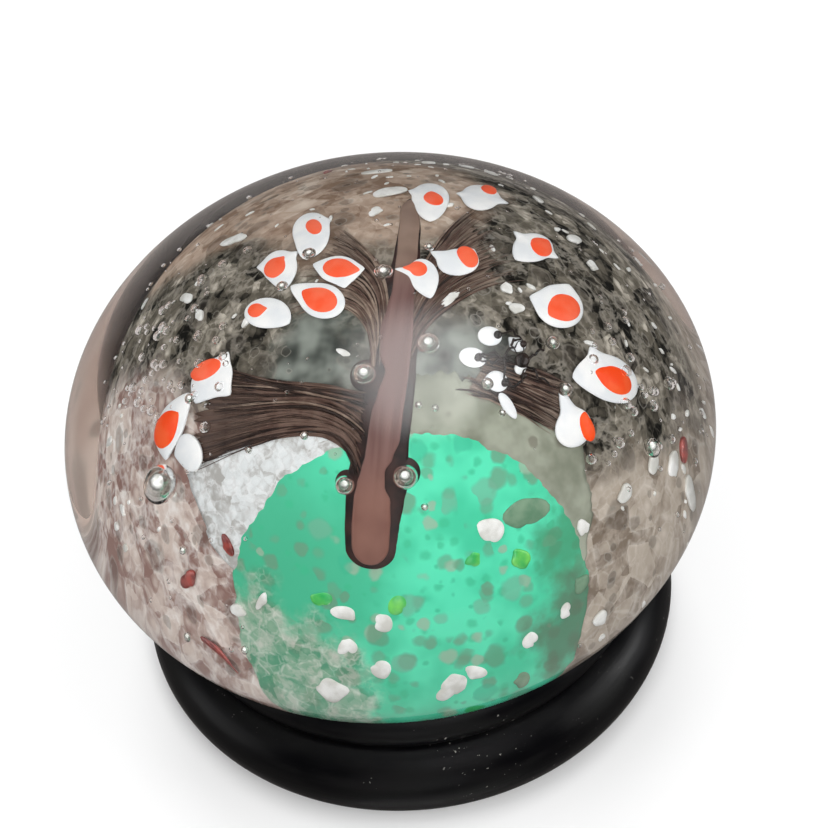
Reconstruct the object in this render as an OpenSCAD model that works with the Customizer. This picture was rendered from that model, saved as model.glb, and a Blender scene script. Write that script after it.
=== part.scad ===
// A solid art-glass orb, a clear casing over a decorated glass core, on a turned wooden ring stand.
// Millimetres, +Z up. The origin is the centre of the stand's underside and the front faces -Y.
// The core carries a scene: a green hill, a tree trunk with combed branches, and white blossoms with
// orange hearts. Each of them is a separate piece of glass let into the core's round surface.

/* [Orb] */
// Diameter of the orb at its widest
orb_d = 100; // [90:1:110]
// Height of the orb if its underside were round, before the flat is ground
orb_full_h = 71.6; // [70:0.2:78]
// Distance from the orb's centre down to its ground flat
orb_flat_drop = 30.5; // [30:0.1:31.5]
// Height of the orb's centre above the table
orb_centre_h = 44.5; // [44.4:0.1:45.5]

/* [Core] */
// Diameter of the decorated core
core_d = 70; // [69:0.5:71]
// How far the core sits to the right of the orb's axis
core_right = 1.5; // [0:0.1:2]
// How far the core's centre sits below the orb's centre
core_drop = 4.5; // [4:0.1:5]

/* [Scene on the core] */
// Depth of the thin layers: the hill and the branches
skin_t = 1.2; // [1:0.1:1.3]
// Depth of the trunk, blossoms and chips
inlay_t = 1.5; // [1.4:0.1:1.8]
// Angular radius of the green hill
hill_angle = 38; // [36:0.5:39]
// Angular radius of the pale drift behind the hill
drift_angle = 47; // [45:0.5:48]
// How deep the pale drift lies, under all the other inlays
drift_depth = 2; // [1.9:0.1:2.2]
// Thickness of the pale drift
drift_t = 1; // [0.8:0.1:1.2]
// Width of the trunk above its foot
trunk_w = 3.4; // [3:0.1:3.8]
// Width of the trunk's foot
foot_w = 4.8; // [4.4:0.1:5]
// Width of the dark line round the trunk
line_w = 0.8; // [0.6:0.1:1]
// Where the trunk ends, as an angle up from the front
trunk_top = 112; // [108:1:114]
// Where the trunk's foot is, as an angle up from the front
trunk_foot = 22; // [20:1:24]
// Where the wide foot narrows into the trunk
trunk_neck = 38; // [34:1:42]

/* [Stand] */
// Radius of the middle of the stand's round bulge
bulge_ring_r = 37.7; // [37.5:0.1:38]
// Radius of the bulge's own round section
bulge_r = 7; // [6.8:0.1:7.2]
// Height of the bulge's centre above the table
bulge_h = 6.4; // [6.2:0.1:6.6]
// Radius of the middle of the upper bead
bead_ring_r = 36.6; // [36.4:0.1:36.8]
// Radius of the bead's own round section
bead_r = 3.2; // [3:0.1:3.3]
// Height of the bead's centre above the table
bead_h = 15.8; // [15.6:0.1:16]
// Running gap between the orb and its seat
seat_gap = 0.1; // [0.08:0.01:0.15]
// Radius of the bottom of the dish under the orb
dish_r = 31; // [30:0.5:32]
// Height of the dish's floor above the table
dish_floor_h = 11.4; // [11:0.1:11.8]

/* [Pad] */
// Diameter of the felt pad
pad_d = 72; // [68:1:73]
// Thickness of the felt pad
pad_t = 1.4; // [1.2:0.1:1.6]
// How far the pad stands below the wood
pad_proud = 0.6; // [0.4:0.1:0.7]

/* [Hidden] */
orb_r = orb_d / 2;
orb_half_h = orb_full_h / 2;
core_r = core_d / 2;
core_at = [core_right, 0, orb_centre_h - core_drop];
flat_h = orb_centre_h - orb_flat_drop;
line_inset = 8;           // how far a prism starts below the core's surface
line_reach = 4;           // how far a prism runs out past the core's surface
stretch_lap = 0.5;         // how far the trunk and its foot lap, as an angle
BALL_FN = 240;
CHIP_FN = 60;
ORB_STEPS = 56;           // straight pieces in the orb's half outline
OUTLINE_STEPS = 16;       // corners of a blossom or a heart
EDGE_STEPS = 7;           // straight pieces along one edge of a branch fan
CHIP_R = 0.9;             // a fleck or chip of crushed glass
GRAIN_R = 1.3;            // a coarse clear granule

// A place on the core is [up, side] in degrees: up runs from the front (0) over the top (90) to the
// back (180) along the trunk, and side is the turn to the right of the trunk.
// Blossom: [up, side, length, width, tail's turn, how pointed the tail is,
//           heart right, heart up, heart's length, heart's width, heart's turn]
BLOSSOMS = [
    [102, -23, 11.0, 5.4, 285, 0.9, 0.4, 0.5, 4.4, 2.2, 110],
    [90, -29, 8.4, 4.8, 300, 0.7, -0.5, -0.3, 4.2, 3.2, 120],
    [86, -14.5, 6.4, 4.8, 195, 0.4, 0.4, 0.4, 4.4, 3.4, 155],
    [76.5, -17.5, 7.2, 5.2, 140, 0.5, 0.2, 0.4, 5.0, 3.6, 145],
    [75, -30.5, 7.8, 4.8, 20, 0.3, -1.6, 0.5, 2.8, 2.2, 140],
    [57, -42, 8.0, 5.6, 320, 0.5, -0.6, 1.0, 4.6, 2.6, 15],
    [41, -52.5, 7.4, 5.2, 60, 0.4, -0.4, -0.2, 5.0, 3.8, 50],
    [116, 3, 12.0, 5.4, 273, 0.8, 0.2, 0.6, 4.4, 2.8, 100],
    [123, 14, 11.0, 5.4, 265, 0.5, 0.6, 2.4, 4.2, 2.2, 90],
    [106, 28, 9.2, 5.0, 245, 0.4, 0.5, 0.5, 4.4, 3.2, 75],
    [85, 4.4, 6.8, 4.0, 283, 0.6, -0.3, 0.9, 3.0, 2.2, 0],
    [91, 12, 6.6, 4.8, 222, 0.6, 0.7, 0.7, 4.0, 2.8, 105],
    [88, 36, 9.0, 6.6, 52, 0.2, 0.3, -0.1, 5.6, 4.2, 46],
    [72, 51, 11.0, 6.6, 160, 0.5, 0.6, 0.0, 6.0, 3.8, 11],
    [53, 41.5, 7.4, 4.8, 150, 0.8, 0.9, -0.5, 3.4, 2.2, 126],
];
// A branch fan is the space between two curved edges, each four places from the trunk outwards
FANS = [
    ["branch_fan_low_left", [[55, -2], [60, -14], [58, -26], [56, -37]],
        [[37, -2], [52, -10], [44, -22], [33, -41]]],
    ["branch_fan_high_left", [[84, -2], [86, -9], [92, -13], [99, -17]],
        [[65, -2], [74, -8], [77, -16], [72, -25]]],
    ["branch_fan_high_right", [[80, 2], [90, 6], [100, 9], [110, 13]],
        [[66, 2], [74, 10], [82, 18], [92, 25]]],
    ["branch_fan_low_right", [[60, 2], [62, 14], [68, 22], [71, 32]],
        [[47, 2], [52, 14], [53, 24], [51, 34]]],
];
WHITE_DROPS = [[35, -45, 2.3], [73, 20, 1.2], [68, 14, 1.3], [62, 19.5, 1.1], [56, 25, 1.2]];
DARK_SEEDS = [[74, 23.2, 0.7], [66, 17.2, 0.7], [64, 23, 0.7], [69, 27, 1.5]];
WHITE_FLECKS = [[128, -12], [121, -22], [110, -10], [134, 4], [131, 24], [121, 33], [112, 42],
    [100, 46], [97, 57], [124, -38], [112, -45], [98, -48], [86, -58], [58, 62], [46, 68],
    [150, 10], [158, -20], [166, 25], [178, 0], [188, -28], [196, 18], [170, -50], [182, 48]];
RED_CHIPS = [[4, -40], [-15, -30], [-6, -52], [26, 66], [-8, 62]];
GREEN_CHIPS = [[8, -13], [13, 4], [-12, 2]];
GRANULES = [[31, 24], [20, 36], [3, 33], [-8, 14], [-14, -8], [2, -16], [14, 20], [19, -47],
    [12, -52], [-12, -44], [-2, 56], [16, 58], [140, -35], [145, 38], [200, -8], [186, 30]];

function two_digits(i) = i < 10 ? str("0", i) : str(i);
function blossom_name(i) = str("blossom_", two_digits(i + 1));
function heart_name(i) = str("blossom_heart_", two_digits(i + 1));

// ---- Places on the core ----

module at(up, side) {
    translate(core_at) rotate([0, 5.9, -10.5]) rotate([90 - up, 0, 0]) rotate([0, side, 0]) children();
}

function out(up, side) = [sin(side), -cos(side) * cos(up), cos(side) * sin(up)];
function rightwards(up, side) = [cos(side), sin(side) * cos(up), -sin(side) * sin(up)];
function upwards(up) = [0, sin(up), cos(up)];
function flat_place(p, c) =
    core_r * [out(p[0], p[1]) * rightwards(c[0], c[1]), out(p[0], p[1]) * upwards(c[0])];
function edge_point(e, t) = pow(1 - t, 3) * e[0] + 3 * t * pow(1 - t, 2) * e[1]
    + 3 * t * t * (1 - t) * e[2] + pow(t, 3) * e[3];

// A column that stands on the core's surface, from a given depth to past the surface
module column(depth) {
    translate([0, 0, core_r - depth]) linear_extrude(depth + line_reach) children();
}

// The same column, but with a round bottom that follows the core
module skin_column(up, side, depth) {
    difference() {
        at(up, side) column(line_inset + depth) children();
        translate(core_at) sphere(r = core_r - depth, $fn = BALL_FN);
    }
}

module core_ball() {
    translate(core_at) sphere(r = core_r, $fn = BALL_FN);
}

// ---- Outlines of the decorations, as columns ----

module oval_outline(length, width) {
    polygon([for (i = [0:OUTLINE_STEPS - 1]) let (a = 360 * i / OUTLINE_STEPS)
        [length / 2 * cos(a), width / 2 * sin(a)]]);
}

// A drop with its tail along +X; the larger pointed is, the longer the tail
module drop_outline(length, width, pointed) {
    polygon([for (i = [0:OUTLINE_STEPS - 1]) let (a = 360 * i / OUTLINE_STEPS)
        [length / 2 * cos(a), width / 2 * sin(a) * pow(max(sin(a / 2), 0.05), pointed)
            * (1 + 0.25 * pointed)]]);
}

module blossom_column(b) {
    at(b[0], b[1]) column(inlay_t) rotate(b[4]) drop_outline(b[2], b[3], b[5]);
}

module heart_column(b) {
    at(b[0], b[1]) translate([b[6], b[7], 0]) column(inlay_t + 0.2) rotate(b[10]) oval_outline(b[8], b[9]);
}

module all_blossom_columns() {
    for (b = BLOSSOMS) {
        blossom_column(b);
        heart_column(b);
    }
}

module chip_columns(places, r, depth) {
    for (p = places) at(p[0], p[1]) column(depth) circle(r = len(p) > 2 ? p[2] : r, $fn = CHIP_FN);
}

module hill_cap(angle) {
    at(8, 8) translate([0, 0, core_r - line_inset - 12]) cylinder(r = core_r * sin(angle), h = 40, $fn = 96);
}

module hill_column() {
    difference() {
        hill_cap(hill_angle);
        translate(core_at) sphere(r = core_r - skin_t, $fn = BALL_FN);
    }
}

// The stretch of a trunk of one width, between two heights
module trunk_stretch(width, from, to) {
    translate(core_at) rotate([0, 5.9, -10.5]) rotate([0, -90, 0]) rotate([0, 0, from - 90])
        rotate_extrude(angle = to - from, $fn = 96)
            translate([core_r - inlay_t, -width / 2]) square([inlay_t + line_reach, width]);
}

module trunk_column(extra) {
    trunk_stretch(trunk_w + 2 * extra, trunk_neck - stretch_lap, trunk_top);
    trunk_stretch(foot_w + 2 * extra, trunk_foot, trunk_neck);
    at(trunk_foot, 0) column(inlay_t + 0.1) circle(r = foot_w / 2 + extra + 0.1, $fn = 36);
}

module fan_column(f) {
    middle = [(f[1][3][0] + f[2][0][0]) / 2, f[1][2][1] / 1.4];
    high = [for (i = [0:EDGE_STEPS]) edge_point(f[1], i / EDGE_STEPS)];
    low = [for (i = [EDGE_STEPS:-1:0]) edge_point(f[2], i / EDGE_STEPS)];
    skin_column(middle[0], middle[1], skin_t)
        polygon([for (p = concat(high, low)) flat_place(p, middle)]);
}

// The drift is a buried crescent, so it passes under the branches and blossoms
module drift_layer() {
    difference() {
        intersection() {
            hill_cap(drift_angle);
            translate(core_at) sphere(r = core_r - drift_depth, $fn = BALL_FN);
        }
        hill_cap(hill_angle);
        translate(core_at) sphere(r = core_r - drift_depth - drift_t, $fn = BALL_FN);
        at(8, 8) translate([-50, -92, -10]) cube([100, 100, 80]);
    }
}

// ---- The orb's own pieces ----

module clear_casing() {
    low = -asin(orb_flat_drop / orb_half_h);
    color([0.93, 0.95, 0.95, 0.25]) difference() {
        translate([0, 0, orb_centre_h]) rotate_extrude($fn = 120)
            polygon(concat([[0, -orb_flat_drop]],
                [for (i = [0:ORB_STEPS]) let (a = low + (90 - low) * i / ORB_STEPS)
                    [i == ORB_STEPS ? 0 : orb_r * cos(a), orb_half_h * sin(a)]]));
        core_ball();
    }
}

module smoky_core() {
    color([0.33, 0.29, 0.27]) difference() {
        core_ball();
        translate([-orb_r, -orb_r, flat_h - orb_d]) cube([orb_d, orb_d, orb_d]);
        hill_column();
        drift_layer();
        trunk_column(line_w);
        for (f = FANS) fan_column(f);
        all_blossom_columns();
        chip_columns(WHITE_DROPS, 1, inlay_t);
        chip_columns(DARK_SEEDS, 1, inlay_t);
        chip_columns(WHITE_FLECKS, CHIP_R, inlay_t);
        chip_columns(RED_CHIPS, CHIP_R, inlay_t);
        chip_columns(GREEN_CHIPS, CHIP_R, inlay_t);
        chip_columns(GRANULES, GRAIN_R, inlay_t);
    }
}

module green_hill() {
    color([0.27, 0.80, 0.62]) difference() {
        intersection() {
            core_ball();
            hill_column();
        }
        trunk_column(line_w);
        chip_columns(GREEN_CHIPS, CHIP_R, inlay_t);
        chip_columns(GRANULES, GRAIN_R, inlay_t);
    }
}

module pale_drift() {
    color([0.82, 0.82, 0.80]) drift_layer();
}

module trunk_cane() {
    color([0.52, 0.38, 0.38]) intersection() {
        core_ball();
        difference() {
            trunk_column(0);
            all_blossom_columns();
        }
    }
}

module trunk_dark_line() {
    color([0.08, 0.05, 0.05]) intersection() {
        core_ball();
        difference() {
            trunk_column(line_w);
            trunk_column(0);
            all_blossom_columns();
        }
    }
}

module branch_fan(f) {
    color([0.16, 0.11, 0.10]) difference() {
        intersection() {
            core_ball();
            fan_column(f);
        }
        hill_cap(hill_angle);
        trunk_column(line_w);
        all_blossom_columns();
        chip_columns(WHITE_DROPS, 1, inlay_t);
        chip_columns(DARK_SEEDS, 1, inlay_t);
    }
}

module blossom(i) {
    color([0.95, 0.95, 0.94]) intersection() {
        core_ball();
        difference() {
            blossom_column(BLOSSOMS[i]);
            heart_column(BLOSSOMS[i]);
        }
    }
}

module blossom_heart(i) {
    color([0.98, 0.32, 0.14]) intersection() {
        core_ball();
        heart_column(BLOSSOMS[i]);
    }
}

module chips(places, r) {
    intersection() {
        core_ball();
        chip_columns(places, r, inlay_t);
    }
}

module white_drops() {
    color([0.95, 0.95, 0.94]) chips(WHITE_DROPS, 1);
}

module dark_seeds() {
    color([0.05, 0.05, 0.06]) chips(DARK_SEEDS, 1);
}

module white_flecks() {
    color([0.92, 0.92, 0.90]) chips(WHITE_FLECKS, CHIP_R);
}

module red_chips() {
    color([0.45, 0.12, 0.10]) chips(RED_CHIPS, CHIP_R);
}

module green_chips() {
    color([0.55, 0.78, 0.25]) chips(GREEN_CHIPS, CHIP_R);
}

module clear_granules() {
    color([0.60, 0.56, 0.52]) chips(GRANULES, GRAIN_R);
}

// ---- The stand ----

// Half section of the turned ring: a round bulge, a groove, a smaller bead and a seat that follows the orb
module stand_section() {
    wood_low = pad_proud;
    bulge_low = -acos((bulge_h - wood_low) / bulge_r);
    groove_h = bulge_h + bulge_r - 0.45;
    seat_in = dish_r + 1.2;
    seat_out = bead_ring_r - 1.2;
    difference() {
        union() {
            translate([0, wood_low]) square([bulge_ring_r, groove_h - wood_low]);
            intersection() {
                translate([bulge_ring_r, bulge_h]) circle(r = bulge_r, $fn = 72);
                translate([0, wood_low]) square([60, 20]);
            }
            translate([0, groove_h - 1]) square([bead_ring_r, bead_h - groove_h + bead_r + 0.9]);
            translate([bead_ring_r, bead_h]) circle(r = bead_r, $fn = 48);
        }
        polygon(concat([[0, 40], [0, dish_floor_h], [dish_r, dish_floor_h]],
            [for (i = [0:8]) let (r = dish_r + (41 - dish_r) * i / 8)
                [r, orb_centre_h - orb_half_h * sqrt(1 - r * r / (orb_r * orb_r)) - seat_gap]]));
    }
}

module stand_ring() {
    color([0.05, 0.05, 0.055]) difference() {
        rotate_extrude($fn = 120) stand_section();
        translate([0, 0, -1]) cylinder(d = pad_d + 0.2, h = pad_t + 1, $fn = 96);
    }
}

module felt_pad() {
    color([0.09, 0.09, 0.09]) cylinder(d = pad_d, h = pad_t, $fn = 96);
}

stand_ring();
felt_pad();
clear_casing();
smoky_core();
green_hill();
pale_drift();
trunk_cane();
trunk_dark_line();
for (f = FANS) branch_fan(f);
for (i = [0:len(BLOSSOMS) - 1]) blossom(i);
for (i = [0:len(BLOSSOMS) - 1]) blossom_heart(i);
white_drops();
dark_seeds();
white_flecks();
red_chips();
green_chips();
clear_granules();
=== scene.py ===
# %% [markdown]
# # A glass orb with a tree inside, on a black turned stand
# The object is a solid ball of glass. Its maker rolled a hot core in crushed glass, drew a tree on it
# with canes and hot threads, dropped white and orange glass on it as blossoms, and dipped the whole in
# clear glass. This lesson builds it in that same order, from the inside out.
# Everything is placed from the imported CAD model, so the first step is to load it.

# %% Load the frame
import math
import random
import bmesh
import bpy
from mathutils import Matrix, Vector, noise


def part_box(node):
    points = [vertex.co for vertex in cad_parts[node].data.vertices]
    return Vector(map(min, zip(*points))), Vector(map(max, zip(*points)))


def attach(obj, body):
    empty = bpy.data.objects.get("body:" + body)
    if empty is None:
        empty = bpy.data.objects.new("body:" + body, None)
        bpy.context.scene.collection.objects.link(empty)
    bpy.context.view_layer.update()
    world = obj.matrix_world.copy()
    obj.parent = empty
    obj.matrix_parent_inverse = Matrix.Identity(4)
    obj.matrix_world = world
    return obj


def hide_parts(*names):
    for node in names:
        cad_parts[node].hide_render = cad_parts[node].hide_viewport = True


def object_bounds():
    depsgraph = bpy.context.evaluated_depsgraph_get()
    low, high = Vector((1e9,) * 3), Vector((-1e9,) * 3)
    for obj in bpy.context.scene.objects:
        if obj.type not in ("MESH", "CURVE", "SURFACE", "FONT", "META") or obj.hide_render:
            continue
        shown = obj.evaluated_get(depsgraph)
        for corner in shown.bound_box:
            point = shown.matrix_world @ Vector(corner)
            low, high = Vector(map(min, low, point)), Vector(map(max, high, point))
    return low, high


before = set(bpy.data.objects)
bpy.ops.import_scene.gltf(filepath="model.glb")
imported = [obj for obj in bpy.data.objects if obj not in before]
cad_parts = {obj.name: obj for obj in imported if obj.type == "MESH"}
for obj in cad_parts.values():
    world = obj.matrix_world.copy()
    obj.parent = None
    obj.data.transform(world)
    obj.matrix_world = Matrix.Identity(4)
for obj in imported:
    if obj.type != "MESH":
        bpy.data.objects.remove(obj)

scene = bpy.context.scene
cad_low, cad_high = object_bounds()
print("CAD box:", [round(v, 4) for v in (*cad_low, *cad_high)])

# %% [markdown]
# ## Driving sizes
# The pieces on the core are small, so their sizes are written in millimetres and scaled once, where a
# mesh is made. The orb's centre comes from the casing's own box. A place on the core is given as a pair
# of angles, up and side: up runs from the front over the top along the trunk, side turns away from it.

# %% Sizes and places
MM = 0.001
casing_low, casing_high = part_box("clear_casing")
ORB_R = (casing_high.x - casing_low.x) / 2
ORB_HALF_H = 35.8 * MM
ORB_CENTRE = Vector((0, 0, casing_high.z - ORB_HALF_H))
FLAT_Z = casing_low.z
CORE_R_MM = 35
CORE_CENTRE = ORB_CENTRE + Vector((1.5, 0, -4.5)) * MM
TREE_TURN = -10.5
TREE_TILT = 5.9
TREE_AXES = (Matrix.Rotation(math.radians(TREE_TURN), 3, "Z")
           @ Matrix.Rotation(math.radians(TREE_TILT), 3, "Y"))


def tree_direction(up, side):
    """Outward direction of a place, in the tree's own axes: x right, y back, z up."""
    u, s = math.radians(up), math.radians(side)
    return Vector((math.sin(s), -math.cos(s) * math.cos(u), math.cos(s) * math.sin(u)))


def axes_at(spot):
    """Rightward, upward and outward directions at a place on the core, in the row frame."""
    u, s = math.radians(spot[0]), math.radians(spot[1])
    right = Vector((math.cos(s), math.sin(s) * math.cos(u), -math.sin(s) * math.sin(u)))
    upward = Vector((0, math.sin(u), math.cos(u)))
    return TREE_AXES @ right, TREE_AXES @ upward, TREE_AXES @ tree_direction(*spot)


def on_core(spot, x=0.0, y=0.0, lift=0.0):
    """The point x mm right and y mm up of a place, lift mm off the core, in metres."""
    right, upward, out = axes_at(spot)
    depth = math.sqrt(max(CORE_R_MM ** 2 - x * x - y * y, 0))
    ray = (right * x + upward * y + out * depth).normalized()
    return CORE_CENTRE + ray * (CORE_R_MM + lift) * MM


print("orb centre:", ORB_CENTRE, "core centre:", CORE_CENTRE)

# %% [markdown]
# ## Camera
# A camera is described by where it looks from, not by typed coordinates: an elevation above the table,
# a roll, a distance from the orb's centre and a small slide across the view.

# %% Camera
CAMERA = {"elevation": 45.35, "roll": -6.36, "distance": 250.4, "right": 3.84, "up": 1.15}
camera_data = bpy.data.cameras.new("camera")
camera_data.lens = 70
camera_data.sensor_width = 36
camera_data.clip_start = 0.01
camera = bpy.data.objects.new("camera", camera_data)
scene.collection.objects.link(camera)
scene.camera = camera
elevation, roll = math.radians(CAMERA["elevation"]), math.radians(CAMERA["roll"])
back = Vector((0, -math.cos(elevation), math.sin(elevation)))
level_right = Vector((1, 0, 0))
level_up = Vector((0, math.sin(elevation), math.cos(elevation)))
view_right = level_right * math.cos(roll) + level_up * math.sin(roll)
view_up = level_up * math.cos(roll) - level_right * math.sin(roll)
eye = (ORB_CENTRE + (back * CAMERA["distance"] + view_right * CAMERA["right"]
                     + view_up * CAMERA["up"]) * MM)
camera.matrix_world = (Matrix.Translation(eye)
                       @ Matrix((view_right, view_up, back)).transposed().to_4x4())
print("camera stands at", eye)

# %% [markdown]
# ## Small helpers for materials
# Every finish here is a node tree. A few helpers keep the recipes short: they start a material with its
# Principled shader, add a node and set its inputs, start a node group, and mix colours.

# %% Material helpers
SOCKET = {"value": "NodeSocketFloat", "vector": "NodeSocketVector", "colour": "NodeSocketColor"}


def material(name, **inputs):
    """A material, its tree and its shader. An input's name has _ for each space."""
    made = bpy.data.materials.new(name)
    made.use_nodes = True
    shader = made.node_tree.nodes["Principled BSDF"]
    for key, value in inputs.items():
        shader.inputs[key.replace("_", " ")].default_value = value
    return made, made.node_tree, shader


def add(tree, kind, inputs=None, **settings):
    """A new node. inputs maps a socket's name or number to a value or to another node's output."""
    made = tree.nodes.new("ShaderNode" + kind)
    for key, value in settings.items():
        setattr(made, key, value)
    for key, value in (inputs or {}).items():
        if isinstance(value, bpy.types.NodeSocket):
            tree.links.new(value, made.inputs[key])
        else:
            made.inputs[key].default_value = value
    return made


def group(name, inputs, outputs):
    """An empty node group with named sockets, what it's given, and what it puts out."""
    tree = bpy.data.node_groups.new(name, "ShaderNodeTree")
    for label, kind, default in inputs:
        socket = tree.interface.new_socket(label, in_out="INPUT", socket_type=SOCKET[kind])
        socket.default_value = default
    for label, kind in outputs:
        tree.interface.new_socket(label, in_out="OUTPUT", socket_type=SOCKET[kind])
    return tree, tree.nodes.new("NodeGroupInput").outputs, tree.nodes.new("NodeGroupOutput").inputs


def use(tree, shared, inputs=None):
    """Places a shared node group in a tree."""
    return add(tree, "Group", inputs, node_tree=shared)


def maths(tree, operation, a, b=0.0, c=None):
    slots = {0: a, 1: b} if c is None else {0: a, 1: b, 2: c}
    return add(tree, "Math", slots, operation=operation).outputs[0]


def vector_maths(tree, operation, a, b):
    return add(tree, "VectorMath", {0: a, 1: b}, operation=operation)


def between(tree, value, low, high, to_low=0.0, to_high=1.0):
    """Maps low..high to 0..1, or other limits, with a soft start and end."""
    return add(tree, "MapRange", {"Value": value, "From Min": low, "From Max": high,
                                  "To Min": to_low, "To Max": to_high},
               interpolation_type="SMOOTHSTEP").outputs[0]


def blend_colour(tree, share, a, b):
    return add(tree, "Mix", {0: share, 6: a, 7: b}, data_type="RGBA").outputs[2]


def laid_over(tree, colour, mask, strength, over):
    """A colour with another laid over it where a mask is, at less than full strength."""
    return blend_colour(tree, maths(tree, "MULTIPLY", mask, strength), colour, over)


def paint(tree, shader, colour):
    """Links a colour to the shader's base colour."""
    tree.links.new(colour, shader.inputs["Base Color"])


def srgb(red, green, blue):
    """A colour given in everyday 0-255 steps, as the linear colour that shaders want."""
    def linear(step):
        share = step / 255
        return share / 12.92 if share <= 0.04045 else ((share + 0.055) / 1.055) ** 2.4
    return (linear(red), linear(green), linear(blue), 1.0)


print("helpers ready")

# %% [markdown]
# ## Shared effect: where on the core is this point?
# Several glasses change from place to place on the core. This group turns a point into the tree's
# own axes, so that a material can say "near the top" or "left of the trunk". It could be done with UVs,
# but a direction from the core's centre needs no unwrapping and works on every piece alike.

# %% Node group: tree place
tree_place, _, place_out = group(
    "tree place", [], [("Place", "vector"), ("Direction", "vector")])
here = add(tree_place, "TexCoord").outputs["Object"]
from_centre = vector_maths(tree_place, "SUBTRACT", here, tuple(CORE_CENTRE)).outputs[0]
unturned = add(tree_place, "VectorRotate", {"Vector": from_centre, "Angle": -math.radians(TREE_TURN)},
               rotation_type="Z_AXIS").outputs[0]
untilted = add(tree_place, "VectorRotate", {"Vector": unturned, "Angle": -math.radians(TREE_TILT)},
               rotation_type="Y_AXIS").outputs[0]
direction = vector_maths(tree_place, "NORMALIZE", untilted, (0, 0, 0)).outputs[0]
tree_place.links.new(untilted, place_out["Place"])
tree_place.links.new(direction, place_out["Direction"])


def core_places(tree):
    """The point in metres from the core's middle, and its direction, in the tree's own axes."""
    made = use(tree, tree_place)
    return made.outputs["Place"], made.outputs["Direction"]


print("group:", tree_place.name)

# %% [markdown]
# ## Shared effect: a zone of the core
# A zone is a round patch with a wandering edge, as powder leaves when a hot ball is rolled over it. The
# mask is the cosine of the angle to the zone's middle, disturbed by noise and softened.

# %% Node group: zone
zone, zone_in, zone_out = group(
    "zone", [("Direction", "vector", (0, 0, 0)), ("Middle", "vector", (0, -1, 0)),
             ("Reach", "value", 0.8), ("Softness", "value", 0.1), ("Wander", "value", 0.2),
             ("Grain", "value", 4.0)], [("Mask", "value")])
closeness = vector_maths(zone, "DOT_PRODUCT", zone_in["Direction"],
                         zone_in["Middle"]).outputs["Value"]
edge_noise = add(zone, "TexNoise", {"Vector": zone_in["Direction"],
                                    "Scale": zone_in["Grain"], "Detail": 4.0})
shift = maths(zone, "MULTIPLY", maths(zone, "SUBTRACT", edge_noise.outputs["Fac"], 0.5),
              zone_in["Wander"])
disturbed = maths(zone, "ADD", closeness, shift)
low_edge = maths(zone, "SUBTRACT", zone_in["Reach"], zone_in["Softness"])
high_edge = maths(zone, "ADD", zone_in["Reach"], zone_in["Softness"])
zone.links.new(between(zone, disturbed, low_edge, high_edge), zone_out["Mask"])


def zone_mask(tree, direction, spot, angle, softness=0.06, wander=0.15, grain=4.0):
    return use(tree, zone, {"Direction": direction, "Middle": tuple(tree_direction(*spot)),
                            "Reach": math.cos(math.radians(angle)), "Softness": softness,
                            "Wander": wander, "Grain": grain}).outputs["Mask"]


print("group:", zone.name)

# %% [markdown]
# ## Shared effect: melted glass
# No melted glass is one flat colour: thin and thick places differ. This group blends two colours by a
# soft noise. Its size is in metres, so the same group serves a broad cloud and a fine grain.

# %% Node group: melted glass
melted, melted_in, melted_out = group(
    "melted glass", [("Place", "vector", (0, 0, 0)), ("Size", "value", 0.003), ("Detail", "value", 3.0),
                     ("Dark", "colour", (0, 0, 0, 1)), ("Light", "colour", (1, 1, 1, 1))],
    [("Color", "colour")])
melt_noise = add(melted, "TexNoise", {"Vector": melted_in["Place"],
                                      "Scale": maths(melted, "DIVIDE", 1.0, melted_in["Size"]),
                                      "Detail": melted_in["Detail"]})
melted.links.new(blend_colour(melted, between(melted, melt_noise.outputs["Fac"], 0.33, 0.67),
                              melted_in["Dark"], melted_in["Light"]),
                 melted_out["Color"])


def melt(tree, place, size, dark, light, detail=3.0):
    """Colour output of a melted-glass blend."""
    return use(tree, melted, {"Place": place, "Size": size, "Detail": detail, "Dark": dark,
                              "Light": light}).outputs["Color"]


def melted_glass(name, size, dark, light, roughness, shine=0.5, detail=3.0):
    """A material whose colour is one melted blend. Shine is its specular level."""
    made, tree, shader = material(name, Roughness=roughness, Specular_IOR_Level=shine)
    paint(tree, shader, melt(tree, core_places(tree)[0], size, dark, light, detail))
    return made


print("group:", melted.name)

# %% [markdown]
# ## Shared effect: crushed glass
# Crushed glass melts into rounded lumps of two sizes, with a pale, broken line where lumps meet and
# wisps where powder was caught between them. Each lump is painted lighter toward its middle, as painted
# shading that makes it look round. A Voronoi texture has the lumps. Its coordinates are first stirred by
# noise, or the lumps look like tiles.

# %% Node group: crushed glass
crushed, crushed_in, crushed_out = group(
    "crushed glass", [("Place", "vector", (0, 0, 0)), ("Cell size", "value", 0.003),
                      ("Stir", "value", 0.001), ("Dark", "colour", (0, 0, 0, 1)),
                      ("Middle", "colour", (0.2, 0.2, 0.2, 1)), ("Light", "colour", (1, 1, 1, 1)),
                      ("Seam", "colour", (1, 1, 1, 1)), ("Seam strength", "value", 0.6),
                      ("Wisps", "value", 0.5)],
    [("Color", "colour"), ("Height", "value")])
scale = maths(crushed, "DIVIDE", 1.0, crushed_in["Cell size"])


def stirred_place(share):
    """The place pushed about by noise, by a share of the Stir input."""
    stirring = add(crushed, "TexNoise", {"Vector": crushed_in["Place"],
                                         "Scale": maths(crushed, "MULTIPLY", scale, 0.55 / share),
                                         "Detail": 4.0})
    centred = vector_maths(crushed, "SUBTRACT", stirring.outputs["Color"], (0.5, 0.5, 0.5)).outputs[0]
    pushed = vector_maths(crushed, "SCALE", centred, (0, 0, 0))
    crushed.links.new(maths(crushed, "MULTIPLY", crushed_in["Stir"], share), pushed.inputs["Scale"])
    return vector_maths(crushed, "ADD", crushed_in["Place"], pushed.outputs[0]).outputs[0]


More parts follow.
